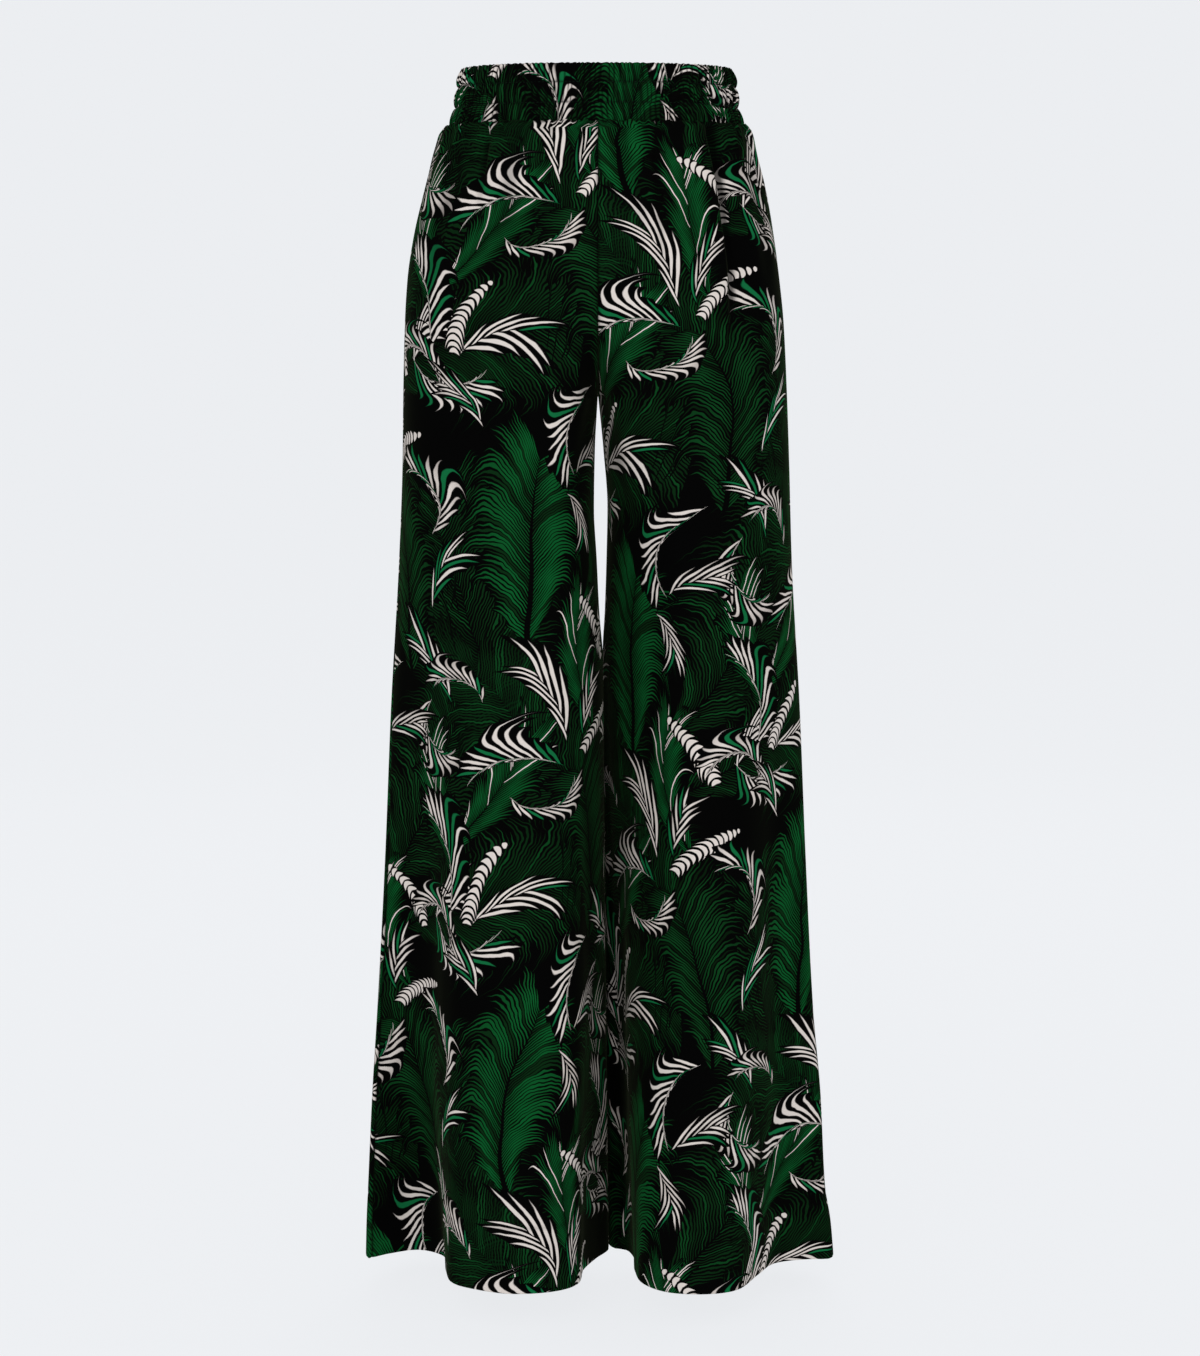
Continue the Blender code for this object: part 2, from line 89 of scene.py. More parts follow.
LEVELS = (
    Level(0.000, 0.1220, 0.1195, 0.080, 0.084),
    Level(0.012, 0.1250, 0.1230, 0.081, 0.085),
    Level(0.034, 0.1280, 0.1253, 0.084, 0.087),
    Level(0.051, 0.1335, 0.1312, 0.087, 0.090),
    Level(0.055, 0.1402, 0.1380, 0.091, 0.095),
    Level(0.062, 0.1432, 0.1404, 0.094, 0.099),
    Level(0.074, 0.1473, 0.1430, 0.097, 0.104),
    Level(0.110, 0.1572, 0.1520, 0.102, 0.115),
    Level(0.150, 0.1667, 0.1590, 0.106, 0.126),
    Level(0.187, 0.1723, 0.1640, 0.108, 0.131),
    Level(0.225, 0.1748, 0.1680, 0.109, 0.132),
    Level(0.293, 0.1768, 0.1716, 0.108, 0.127),
    Level(0.350, 0.1777, 0.1738, 0.106, 0.120),
    Level(0.438, 0.1814, 0.1767, 0.104, 0.113),
    Level(0.576, 0.1900, 0.1852, 0.103, 0.108),
    Level(0.715, 0.1966, 0.1918, 0.103, 0.106),
    Level(0.860, 0.2052, 0.2000, 0.106, 0.106),
    Level(0.940, 0.2106, 0.2075, 0.108, 0.106),
    Level(1.027, 0.2152, 0.2124, 0.111, 0.107),
    Level(1.062, 0.2170, 0.2180, 0.112, 0.108),
    Level(1.095, 0.2180, 0.2210, 0.113, 0.108),
)


class InnerEdge(NamedTuple):
    """Nearest that each leg comes to the line of the centre seams, and how far forward its inseam lies."""

    drop: float
    right: float
    left: float
    right_forward: float
    left_forward: float


INNER_EDGES = (
    InnerEdge(0.293, 0.0002, 0.0002, 0.000, 0.000),
    InnerEdge(0.341, 0.0028, 0.0049, 0.003, -0.003),
    InnerEdge(0.394, 0.0036, 0.0086, 0.010, -0.010),
    InnerEdge(0.438, 0.0012, 0.0078, 0.018, -0.018),
    InnerEdge(0.490, -0.0014, 0.0062, 0.025, -0.025),
    InnerEdge(0.530, -0.0046, 0.0042, 0.028, -0.030),
    InnerEdge(0.600, -0.0052, 0.0042, 0.028, -0.032),
    InnerEdge(0.700, -0.0060, 0.0050, 0.026, -0.034),
    InnerEdge(0.860, -0.0076, 0.0064, 0.020, -0.036),
    InnerEdge(1.095, -0.0103, 0.0085, 0.000, -0.040),
)


class Turn(NamedTuple):
    """A turning point of a leg's hem: distance out from the centre seams, and forward of the side seam."""

    out: float
    forward: float


class Side(NamedTuple):
    """What differs between the wearer's right and left."""

    name: str
    sign: float
    outseam_forward: float  # how far the outseam lies in front of the widest point
    hem: tuple[Turn, ...]  # from the inseam round the front to the outseam, and back behind


RIGHT = Side("right", -1.0, 0.018, (
    Turn(-0.0103, -0.023), Turn(0.0020, 0.010), Turn(0.0130, 0.045), Turn(0.0185, 0.090),
    Turn(0.0380, 0.110), Turn(0.0780, 0.118), Turn(0.1130, 0.103), Turn(0.1328, 0.085),
    Turn(0.1400, 0.050), Turn(0.1455, 0.000), Turn(0.1690, -0.020), Turn(0.1950, -0.008),
    Turn(0.2140, 0.006), Turn(0.2176, -0.004), Turn(0.2090, -0.048), Turn(0.1800, -0.092),
    Turn(0.1400, -0.110), Turn(0.1060, -0.090), Turn(0.0840, -0.072), Turn(0.0570, -0.094),
    Turn(0.0300, -0.106), Turn(0.0090, -0.083), Turn(-0.0010, -0.051),
))
LEFT = Side("left", 1.0, 0.008, (
    Turn(0.0085, -0.046), Turn(0.0140, -0.026), Turn(0.0250, -0.020), Turn(0.0325, 0.004),
    Turn(0.0335, 0.050), Turn(0.0405, 0.088), Turn(0.0620, 0.113), Turn(0.0970, 0.119),
    Turn(0.1250, 0.107), Turn(0.1470, 0.060), Turn(0.1650, 0.023), Turn(0.1930, 0.011),
    Turn(0.2165, 0.008), Turn(0.2205, -0.006), Turn(0.2110, -0.050), Turn(0.1880, -0.080),
    Turn(0.1600, -0.084), Turn(0.1310, -0.102), Turn(0.0980, -0.115), Turn(0.0640, -0.102),
    Turn(0.0430, -0.078), Turn(0.0230, -0.078), Turn(0.0115, -0.068),
))


class Crease(NamedTuple):
    """A soft fold that runs down a panel: share of its width at top and foot, from the centre seam."""

    panel: str
    top_share: float
    foot_share: float
    top_drop: float
    foot_drop: float
    half_width: float
    height: float  # outwards, below zero for a valley


# The folds of the solids
FOLDS = (
    Crease("front_left", 0.60, 0.62, 0.050, 0.250, 0.011, -0.0075),
    Crease("front_left", 0.50, 0.52, 0.050, 0.200, 0.016, 0.0040),
    Crease("front_left", 0.27, 0.26, 0.070, 0.210, 0.009, -0.0030),
    Crease("front_left", 0.72, 0.86, 0.330, 0.900, 0.030, -0.0070),
    Crease("front_left", 0.38, 0.30, 0.380, 0.820, 0.035, -0.0060),
    Crease("front_right", 0.49, 0.47, 0.050, 0.090, 0.010, 0.0055),
    Crease("front_right", 0.56, 0.55, 0.060, 0.150, 0.009, -0.0035),
    Crease("front_right", 0.30, 0.34, 0.060, 0.220, 0.014, -0.0035),
    Crease("front_right", 0.70, 0.80, 0.380, 0.900, 0.030, -0.0070),
    Crease("front_right", 0.34, 0.26, 0.400, 0.840, 0.034, -0.0060),
    Crease("back_left", 0.45, 0.50, 0.060, 0.240, 0.016, -0.0045),
    Crease("back_left", 0.55, 0.60, 0.300, 0.800, 0.034, -0.0080),
    Crease("back_left", 0.22, 0.25, 0.330, 0.700, 0.026, -0.0050),
    Crease("back_right", 0.52, 0.50, 0.060, 0.220, 0.016, -0.0045),
    Crease("back_right", 0.48, 0.55, 0.310, 0.820, 0.034, -0.0080),
    Crease("back_right", 0.20, 0.22, 0.340, 0.720, 0.026, -0.0050),
)

# Finer creases that the solids leave out
CREASES = (
    Crease("front_left", 0.12, 0.20, 0.052, 0.150, 0.006, -0.0016),
    Crease("front_left", 0.40, 0.38, 0.052, 0.130, 0.006, 0.0014),
    Crease("front_left", 0.80, 0.78, 0.052, 0.190, 0.008, -0.0022),
    Crease("front_left", 0.90, 0.92, 0.052, 0.120, 0.005, 0.0012),
    Crease("front_left", 0.06, 0.30, 0.230, 0.420, 0.012, -0.0020),
    Crease("front_left", 0.55, 0.50, 0.560, 0.980, 0.016, 0.0022),
    Crease("front_left", 0.20, 0.12, 0.640, 1.000, 0.013, -0.0020),
    Crease("front_right", 0.10, 0.16, 0.052, 0.140, 0.006, -0.0016),
    Crease("front_right", 0.22, 0.20, 0.052, 0.120, 0.005, 0.0012),
    Crease("front_right", 0.42, 0.40, 0.052, 0.170, 0.007, -0.0020),
    Crease("front_right", 0.72, 0.74, 0.052, 0.200, 0.008, -0.0022),
    Crease("front_right", 0.86, 0.84, 0.052, 0.130, 0.006, 0.0014),
    Crease("front_right", 0.05, 0.28, 0.235, 0.400, 0.012, -0.0020),
    Crease("front_right", 0.52, 0.46, 0.540, 0.960, 0.016, 0.0022),
    Crease("front_right", 0.18, 0.10, 0.600, 0.980, 0.012, -0.0020),
    Crease("back_left", 0.18, 0.22, 0.052, 0.160, 0.007, -0.0018),
    Crease("back_left", 0.34, 0.30, 0.052, 0.130, 0.006, 0.0014),
    Crease("back_left", 0.66, 0.70, 0.052, 0.180, 0.008, -0.0020),
    Crease("back_left", 0.84, 0.80, 0.052, 0.140, 0.006, 0.0013),
    Crease("back_left", 0.08, 0.34, 0.240, 0.430, 0.014, -0.0026),
    Crease("back_left", 0.40, 0.36, 0.520, 0.960, 0.018, 0.0024),
    Crease("back_right", 0.16, 0.20, 0.052, 0.150, 0.007, -0.0018),
    Crease("back_right", 0.32, 0.34, 0.052, 0.120, 0.006, 0.0014),
    Crease("back_right", 0.68, 0.64, 0.052, 0.190, 0.008, -0.0020),
    Crease("back_right", 0.88, 0.86, 0.052, 0.130, 0.006, 0.0013),
    Crease("back_right", 0.07, 0.32, 0.245, 0.420, 0.014, -0.0026),
    Crease("back_right", 0.38, 0.34, 0.500, 0.940, 0.018, 0.0024),
)

# Narrow tucks, deep enough to swallow some of the print
TUCKS = (
    Crease("front_left", 0.578, 0.560, 0.0505, 0.262, 0.0045, -0.0110),
    Crease("front_left", 0.270, 0.262, 0.0700, 0.178, 0.0026, -0.0032),
    Crease("front_right", 0.560, 0.552, 0.0680, 0.125, 0.0026, -0.0034),
)


class Wave(NamedTuple):
    """One of the waves that add up to the uneven gathers under the waistband."""

    count: float  # in a panel's width
    height: float
    shift: float  # in turns
    fade: float  # drop below the band over which it dies out


GATHERS = (
    Wave(7.0, 0.00110, 0.00, 0.050),
    Wave(11.3, 0.00066, 0.37, 0.050),
    Wave(4.1, 0.00044, 0.74, 0.050),
    Wave(19.7, 0.00085, 0.15, 0.034),
    Wave(27.1, 0.00070, 0.61, 0.022),
)


# ---------------------------------------------------------------- curves


def smooth_step(share: np.ndarray | float) -> np.ndarray | float:
    """Rises from 0 to 1 with level ends."""
    share = np.clip(share, 0.0, 1.0)
    return share * share * (3.0 - 2.0 * share)


def along(rows: Sequence[NamedTuple], name: str, drop: float) -> float:
    """Reads a column of a table of levels on a smooth curve that never overshoots.

    Args:
        rows: The table, in the order of its drops.
        name: The column.
        drop: The level.

    Returns:
        The column's size there.
    """
    drops = [row.drop for row in rows]
    sizes = [getattr(row, name) for row in rows]
    if drop <= drops[0]:
        return sizes[0]
    if drop >= drops[-1]:
        return sizes[-1]
    steps = np.diff(drops)
    slopes = np.diff(sizes) / steps
    at = int(np.searchsorted(drops, drop, side="right")) - 1

    def tangent(index: int) -> float:
        """Slope of the curve at a row: none where the column turns back.

        Args:
            index: The row's number.

        Returns:
            The slope.
        """
        if index in (0, len(drops) - 1):
            return slopes[min(index, len(slopes) - 1)]
        before, after = slopes[index - 1], slopes[index]
        return 0.0 if before * after <= 0.0 else 2.0 * before * after / (before + after)

    share = (drop - drops[at]) / steps[at]
    square, cube = share**2, share**3
    return float(
        (2 * cube - 3 * square + 1) * sizes[at]
        + (cube - 2 * square + share) * steps[at] * tangent(at)
        + (3 * square - 2 * cube) * sizes[at + 1]
        + (cube - square) * steps[at] * tangent(at + 1)
    )


def rounded(points: Sequence[tuple[float, float]], count: int) -> np.ndarray:
    """Smooth closed curve through points.

    Args:
        points: The points, in order.
        count: How many points to return.

    Returns:
        Points of the curve, from the first.
    """
    ring = np.asarray(points)
    spans = np.sqrt(np.linalg.norm(np.roll(ring, -1, axis=0) - ring, axis=1))
    knots = np.concatenate([[0.0], np.cumsum(spans)])
    size = len(ring)
    out = []
    for where in np.linspace(0.0, knots[-1], count, endpoint=False):
        at = min(int(np.searchsorted(knots, where, side="right")) - 1, size - 1)
        level = [ring[(at + step) % size] for step in (-1, 0, 1, 2)]
        times = [knots[at] - spans[at - 1], knots[at], knots[at + 1]]
        times.append(times[2] + spans[(at + 1) % size])
        for depth in (1, 2, 3):
            merged = []
            for index in range(4 - depth):
                low = times[index] if depth < 3 else times[1]
                high = times[index + depth] if depth < 3 else times[2]
                share = (where - low) / (high - low)
                merged.append((1.0 - share) * level[index] + share * level[index + 1])
            level = merged
        out.append(level[0])
    return np.array(out)


def lengths(points: np.ndarray) -> np.ndarray:
    """Distance of each point along an open run from its first."""
    return np.concatenate([[0.0], np.cumsum(np.linalg.norm(np.diff(points, axis=0), axis=1))])


def read_run(points: np.ndarray, far: np.ndarray, at: np.ndarray) -> np.ndarray:
    """Finds points of a run at given distances along it, far being those of its own points."""
    return np.stack([np.interp(at, far, points[:, axis]) for axis in (0, 1)], axis=1)


def unit(vectors: np.ndarray) -> np.ndarray:
    """Vectors made one long."""
    return vectors / np.maximum(np.linalg.norm(vectors, axis=-1, keepdims=True), 1e-12)


# ---------------------------------------------------------------- outline of a leg


@dataclass
class Leg:
    """One leg and its half of the trunk, as runs of points round it at each level."""

    side: Side
    crotch_curve: float = 0.135  # height over which the centre seams turn under into the crotch
    parting_drops: tuple[float, float] = (0.070, 0.520)  # between these the trunk parts into two legs
    folds_start: float = 0.36  # drop at which the hem's folds begin to show
    folds_growth: float = 1.5  # above 1 they grow slowly at first
    inner_edge_pull: float = 4.0  # how closely extra width under the crotch curve keeps to the inner edge
    calm_drops: tuple[float, float] = (0.14, 0.46)  # between these the columns' spacing changes evenly
    seam_columns: tuple[float, ...] = (0.0, 0.003, 0.008, 0.016, 0.026)  # shares of the width next to a seam
    panel_columns: int = 64  # between them
    tuck_columns: tuple[float, float] = (0.026, 0.0055)  # reach and pitch of those beside a tuck
    nearest_columns: float = 0.0024

    def __post_init__(self) -> None:
        """Spaces the columns, and works out the hem's run and the widths either side of the crotch."""
        self.shares = self.columns()
        ring = rounded([(turn.out, -turn.forward) for turn in self.side.hem], 2 * CURVE_POINTS)
        self.hem = self.split(np.concatenate([ring, ring[:1]]))
        self.calm = []
        for level in self.calm_drops:
            far, outseam = self.seam_distances(self.worn_run(level))
            self.calm.append((outseam, far[-1] - outseam))

    def columns(self) -> np.ndarray:
        """Spaces a panel's columns, closer together next to its seams and at its tucks.

        Returns:
            Their shares of the panel's width, from its centre seam or inseam to its outseam.
        """
        start, inner = np.array(self.seam_columns), self.seam_columns[-1]
        columns = [*start, *np.linspace(inner, 1.0 - inner, self.panel_columns)[1:-1], *(1.0 - start)]
        reach, pitch = self.tuck_columns
        for tuck in TUCKS:
            if tuck.panel.endswith(self.side.name):
                low, high = sorted((tuck.top_share, tuck.foot_share))
                columns += [*np.arange(low - reach, high + reach, pitch)]
        shares = []
        for share in sorted(columns):
            if not shares or share - shares[-1] > self.nearest_columns:
                shares.append(share)
        shares[-1] = 1.0
        return np.array(shares)

    def seam_distances(self, points: np.ndarray) -> tuple[np.ndarray, float]:
        """Distance of every point along a run, and that of the outseam."""
        far = lengths(points)
        return far, far[int(np.argmax(points[:, 0]))] - self.side.outseam_forward

    def split(self, points: np.ndarray, calm: Sequence[float] | None = None) -> list[np.ndarray]:
        """Cuts a run at the outseam, and spaces its columns.

        Under the crotch curve a panel widens fast at its inner edge alone, so the columns next to
        that edge take up what is more than its calm width.

        Args:
            points: The run, from the centre front round to the centre back.
            calm: Widths of front and back that the columns are spaced by, if not the run's own.

        Returns:
            The front's columns and the back's, each from its centre edge to the outseam.
        """
        far, outseam = self.seam_distances(points)
        widths = (outseam, far[-1] - outseam)
        share = 1.0 - self.shares
        parts = []
        for width, even, inwards in zip(widths, calm or widths, (-1.0, 1.0)):
            away = even * share + (width - even) * share**self.inner_edge_pull
            parts.append(read_run(points, far, outseam + inwards * away))
        return parts

    def worn_run(self, drop: float) -> np.ndarray:
        """Run round one side at a level without the hem's folds, from the centre front to the back.

        The trunk's oval parts slowly into two: the fullest line of each half moves from the centre
        seam to the middle of the leg, and the centre seams sink along the crotch curve between them.

        Args:
            drop: The level.

        Returns:
            Points of the run, at the wearer's left.
        """
        name = self.side.name
        out = along(LEVELS, name, drop)
        inner = along(INNER_EDGES, name, drop) if drop >= RISE else 0.0
        forward = along(INNER_EDGES, f"{name}_forward", drop) if drop >= RISE else 0.0
        top, foot = self.parting_drops
        fullest = (out + inner) / 2.0 * smooth_step((drop - top) / (foot - top))
        sunk = min(max((drop - (RISE - self.crotch_curve)) / self.crotch_curve, 0.0), 1.0)
        runs = []
        for half, power, towards in (("front", FRONT_POWER, -1.0), ("back", BACK_POWER, 1.0)):
            depth = along(LEVELS, half, drop) * towards
            inwards = np.linspace(1.0, 0.0, CURVE_POINTS) ** 0.5
            inner_x = fullest - (fullest - inner) * inwards
            level = depth * (1.0 - (sunk * inwards) ** power) ** (1.0 / power)
            inner_y = level - forward * smooth_step(inwards)
            angles = np.linspace(math.pi / 2.0, 0.0, CURVE_POINTS)[1:]
            outer_x = fullest + (out - fullest) * np.cos(angles) ** (2.0 / power)
            outer_y = depth * np.sin(angles) ** (2.0 / power)
            run = np.stack([np.append(inner_x, outer_x), np.append(inner_y, outer_y)], axis=1)
            runs.append(run if half == "front" else run[::-1][1:])
        return np.concatenate(runs)

    def row(self, drop: float) -> list[np.ndarray]:
        """Works out the columns at a level, the hem's folds mixed in.

        Args:
            drop: The level.

        Returns:
            The front's columns and the back's, each from its centre edge to the outseam.
        """
        above, below = self.calm_drops
        calm = None
        if above < drop < below:
            share = smooth_step((drop - above) / (below - above))
            calm = [(1.0 - share) * high + share * low for high, low in zip(*self.calm)]
        worn = self.split(self.worn_run(drop), calm)
        if drop <= self.folds_start:
            return worn
        share = ((drop - self.folds_start) / (LENGTH - self.folds_start)) ** self.folds_growth
        mixed = [(1.0 - share) * plain + share * folded for plain, folded in zip(worn, self.hem)]
        low = min(part[:, 0].min() for part in mixed)
        high = max(part[:, 0].max() for part in mixed)
        inner, out = along(INNER_EDGES, self.side.name, drop), along(LEVELS, self.side.name, drop)
        for part in mixed:
            part[:, 0] = inner + (part[:, 0] - low) * (out - inner) / (high - low)
        return mixed


# ---------------------------------------------------------------- finishes


class Wire:
    """A number on a node's socket, so that a pattern's sums are written as sums."""

    def __init__(self, tree: bpy.types.NodeTree, socket: bpy.types.NodeSocket) -> None:
        """Keeps the tree that new nodes go to, and the socket that carries the number."""
        self.tree = tree
        self.socket = socket

    def math(self, operation: str, *values: "Wire | float", swapped: bool = False) -> "Wire":
        """Adds a Math node.

        Args:
            operation: The node's operation.
            values: What goes in after this number, or before it if swapped.
            swapped: Whether this number is the second.

        Returns:
            The node's result.
        """
        node = self.tree.nodes.new("ShaderNodeMath")
        node.operation = operation
        put = (*values, self) if swapped else (self, *values)
        for slot, value in zip(node.inputs, put):
            if isinstance(value, Wire):
                self.tree.links.new(value.socket, slot)
            else:
                slot.default_value = value
        return Wire(self.tree, node.outputs[0])

    def __add__(self, other: "Wire | float") -> "Wire":
        """Sum."""
        return self.math("ADD", other)

    def __radd__(self, other: float) -> "Wire":
        """Sum."""
        return self.math("ADD", other)

    def __sub__(self, other: "Wire | float") -> "Wire":
        """Difference."""
        return self.math("SUBTRACT", other)

    def __rsub__(self, other: float) -> "Wire":
        """Difference."""
        return self.math("SUBTRACT", other, swapped=True)

    def __mul__(self, other: "Wire | float") -> "Wire":
        """Product."""
        return self.math("MULTIPLY", other)

    def __rmul__(self, other: float) -> "Wire":
        """Product."""
        return self.math("MULTIPLY", other)

    def __truediv__(self, other: "Wire | float") -> "Wire":
        """Quotient."""
        return self.math("DIVIDE", other)

    def __pow__(self, other: "Wire | float") -> "Wire":
        """Power."""
        return self.math("POWER", other)

    def __abs__(self) -> "Wire":
        """Size without its sign."""
        return self.math("ABSOLUTE")

    def over(self, edge: "Wire | float") -> "Wire":
        """1 where this is over an edge, or else 0."""
        return self.math("GREATER_THAN", edge)

    def least(self, floor: "Wire | float") -> "Wire":
        """This, but no less than a floor."""
        return self.math("MAXIMUM", floor)

    def between(self) -> "Wire":
        """Keeps this from 0 to 1.

        Returns:
            The clamped number.
        """
        node = self.tree.nodes.new("ShaderNodeClamp")
        self.tree.links.new(self.socket, node.inputs["Value"])
        return Wire(self.tree, node.outputs[0])


def mix_colours(tree: bpy.types.NodeTree, share: Wire, first: Paint, second: Paint) -> bpy.types.NodeSocket:
    """Adds a node that mixes two colours.

    Args:
        tree: Where the node goes.
        share: How much of the second shows.
        first: Colour at share 0.
        second: Colour at share 1.

    Returns:
        The mixed colour's socket.
    """
    node = tree.nodes.new("ShaderNodeMix")
    node.data_type = "RGBA"
    tree.links.new(share.socket, node.inputs[0])
    for slot, colour in zip((node.inputs[6], node.inputs[7]), (first, second)):
        if isinstance(colour, tuple):
            slot.default_value = (*colour, 1.0)
        else:
            tree.links.new(colour, slot)
    return node.outputs[2]


def add_noise(
    tree: bpy.types.NodeTree, place: bpy.types.NodeSocket, fineness: float, detail: float
) -> bpy.types.ShaderNode:
    """Adds a node that draws clouds on flat cloth.

    Args:
        tree: Where the node goes.
        place: The place on the flat cloth.
        fineness: How many clouds there are in a metre, about.
        detail: How many finer layers they have.

    Returns:
        The node.
    """
    node = tree.nodes.new("ShaderNodeTexNoise")
    node.noise_dimensions = "2D"
    node.inputs["Scale"].default_value = fineness
    node.inputs["Detail"].default_value = detail
    tree.links.new(place, node.inputs["Vector"])
    return node


@dataclass(frozen=True)
class Plume:
    """A kind of plume: strands that leave a quill on both sides, arch over and end in points."""

    length: float
    left: float  # reach of the longest strands on each side
    right: float
    strands: float  # on each side
    climb: float  # how far up the quill a strand climbs, as a share of its length
    fall: float  # how far its end falls again
    fill: float  # strand's width, as a share of their pitch
    taper: float  # more keeps the width longer and ends it in a shorter point
    slim: float  # how much thinner a strand is at the quill
    ragged: float  # how unevenly they end
    fullest: float  # below 1 the widest place is nearer the foot
    stagger: float  # strands of the two sides, in turns out of step
    quill: float  # half the dark quill's width at its foot
    cover: float  # how far it hides what lies under it, between its strands
    streaks: float  # share of its strands in the accent's colour
    core: Colour
    tip: Colour
    accent: Colour


BLACK: Colour = (0.0014, 0.0014, 0.0014)
DEEP_GREEN: Colour = (0.0024, 0.0100, 0.0032)
MOSS_GREEN: Colour = (0.0032, 0.0200, 0.0055)
GREEN: Colour = (0.0037, 0.0400, 0.0095)
BRIGHT_GREEN: Colour = (0.0034, 0.0740, 0.0168)
JADE: Colour = (0.0055, 0.1150, 0.0370)
BLUSH: Colour = (0.595, 0.540, 0.500)
DUSTY_BLUSH: Colour = (0.33, 0.29, 0.265)
WRONG_SIDE: Colour = (0.006, 0.020, 0.010)
THREAD: Colour = (0.004, 0.011, 0.006)
THREAD_ROUGHNESS = 0.7


class Kind(Enum):
    """The plumes that the print is drawn with."""

    SHADOW = Plume(0.250, 0.098, 0.098, 64, 0.50, 0.60, 0.64, 4, 0.45, 0.50, 0.90, 0.5, 0.0010, 0.75, 0.22,
                   MOSS_GREEN, DEEP_GREEN, GREEN)
    GRAND = Plume(0.176, 0.078, 0.070, 50, 0.56, 0.86, 0.84, 3, 0.60, 0.52, 1.10, 0.5, 0.0026, 1.0, 0.20,
                  BRIGHT_GREEN, GREEN, MOSS_GREEN)
    DUSKY = Plume(0.175, 0.066, 0.074, 48, 0.52, 0.74, 0.74, 3, 0.50, 0.55, 1.00, 0.5, 0.0022, 1.0, 0.20,
                  GREEN, MOSS_GREEN, DEEP_GREEN)
    SLIM = Plume(0.140, 0.036, 0.040, 34, 0.66, 0.46, 0.74, 3, 0.45, 0.55, 0.95, 0.5, 0.0010, 1.0, 0.12,
                 BRIGHT_GREEN, MOSS_GREEN, BLUSH)
    FAN = Plume(0.078, 0.020, 0.034, 5, 1.05, 0.48, 0.74, 2.0, 0.5, 0.50, 0.70, 0.5, 0.0, 1.0, 0.22,
                BLUSH, BLUSH, JADE)
    COMB = Plume(0.110, 0.004, 0.042, 12, 0.55, 0.60, 0.74, 2.0, 0.5, 0.50, 0.75, 0.5, 0.0, 1.0, 0.26,
                 BLUSH, BLUSH, JADE)
    CURL = Plume(0.088, 0.005, 0.027, 12, 0.50, 0.60, 0.72, 2.5, 0.5, 0.50, 1.10, 0.5, 0.0, 1.0, 0.18,
                 BLUSH, DUSTY_BLUSH, JADE)
    ARCHES = Plume(0.080, 0.0105, 0.0105, 13, -0.02, 0.16, 0.76, 3, 0.0, 0.35, 0.70, 0.0, 0.0, 1.0, 0.0,
                   BLUSH, BLUSH, GREEN)
    TUFT = Plume(0.058, 0.019, 0.019, 5, 0.95, 0.20, 0.72, 2.0, 0.5, 0.60, 0.60, 0.5, 0.0, 1.0, 0.20,
                 BLUSH, DUSTY_BLUSH, JADE)


class Motif(NamedTuple):
    """A plume's place in the repeat of the print, those drawn later lying over the earlier ones."""

    kind: Kind
    across: float  # its middle
    up: float
    turn: float  # degrees, to the left if above zero
    arc: float  # how far its quill turns over its length, in radians, to the right if above zero
    size: float


REPEAT_ACROSS = 0.225  # each next column of the print is dropped by half a repeat
REPEAT_UP = 0.500

MOTIFS = (
    Motif(Kind.SHADOW, 0.020, 0.060, 25.0, 0.50, 1.00),
    Motif(Kind.SHADOW, 0.200, 0.170, -30.0, -0.50, 1.00),
    Motif(Kind.SHADOW, 0.100, 0.440, 50.0, 0.40, 0.90),
    Motif(Kind.SHADOW, 0.020, 0.310, -75.0, 0.40, 0.90),
    Motif(Kind.DUSKY, 0.160, 0.350, 14.0, -0.60, 1.00),
    Motif(Kind.SLIM, 0.205, 0.135, 24.0, 0.70, 1.00),
    Motif(Kind.SLIM, 0.045, 0.405, -38.0, -0.70, 0.95),
    Motif(Kind.SLIM, 0.120, 0.020, 10.0, 0.80, 0.90),
    Motif(Kind.GRAND, 0.065, 0.130, -6.0, 0.55, 1.00),
    Motif(Kind.FAN, 0.203, 0.065, -38.0, 0.90, 1.00),
    Motif(Kind.ARCHES, 0.149, 0.061, 40.0, -0.80, 1.00),
    Motif(Kind.COMB, 0.222, 0.022, -100.0, -1.60, 0.85),
    Motif(Kind.COMB, -0.009, 0.352, 20.0, -1.50, 1.00),
    Motif(Kind.FAN, 0.052, 0.315, -70.0, 0.90, 0.95),
    Motif(Kind.ARCHES, 0.031, 0.336, -30.0, 0.80, 1.00),
    Motif(Kind.CURL, -0.020, 0.300, 60.0, -2.60, 1.00),
    Motif(Kind.COMB, 0.066, 0.445, 100.0, -1.40, 0.90),
    Motif(Kind.FAN, 0.098, 0.490, 30.0, -0.80, 1.00),
    Motif(Kind.ARCHES, 0.156, 0.472, -60.0, 0.90, 0.90),
    Motif(Kind.TUFT, 0.129, 0.487, -15.0, 0.80, 1.00),
    Motif(Kind.COMB, 0.122, 0.248, 150.0, -1.70, 0.85),
    Motif(Kind.CURL, 0.185, 0.205, -150.0, -2.80, 1.00),
    Motif(Kind.FAN, 0.205, 0.270, 35.0, -0.80, 0.90),
    Motif(Kind.CURL, 0.212, 0.432, 25.0, -2.50, 1.10),
    Motif(Kind.TUFT, 0.020, 0.255, 35.0, -0.90, 1.00),
    Motif(Kind.CURL, 0.095, 0.395, -80.0, -2.40, 0.90),
    Motif(Kind.TUFT, 0.120, 0.160, -160.0, 0.80, 0.90),
    Motif(Kind.TUFT, 0.146, 0.212, -70.0, 0.90, 1.00),
    Motif(Kind.CURL, 0.006, 0.016, 70.0, -2.20, 0.85),
    Motif(Kind.FAN, -0.016, 0.098, -24.0, 0.80, 0.75),
)

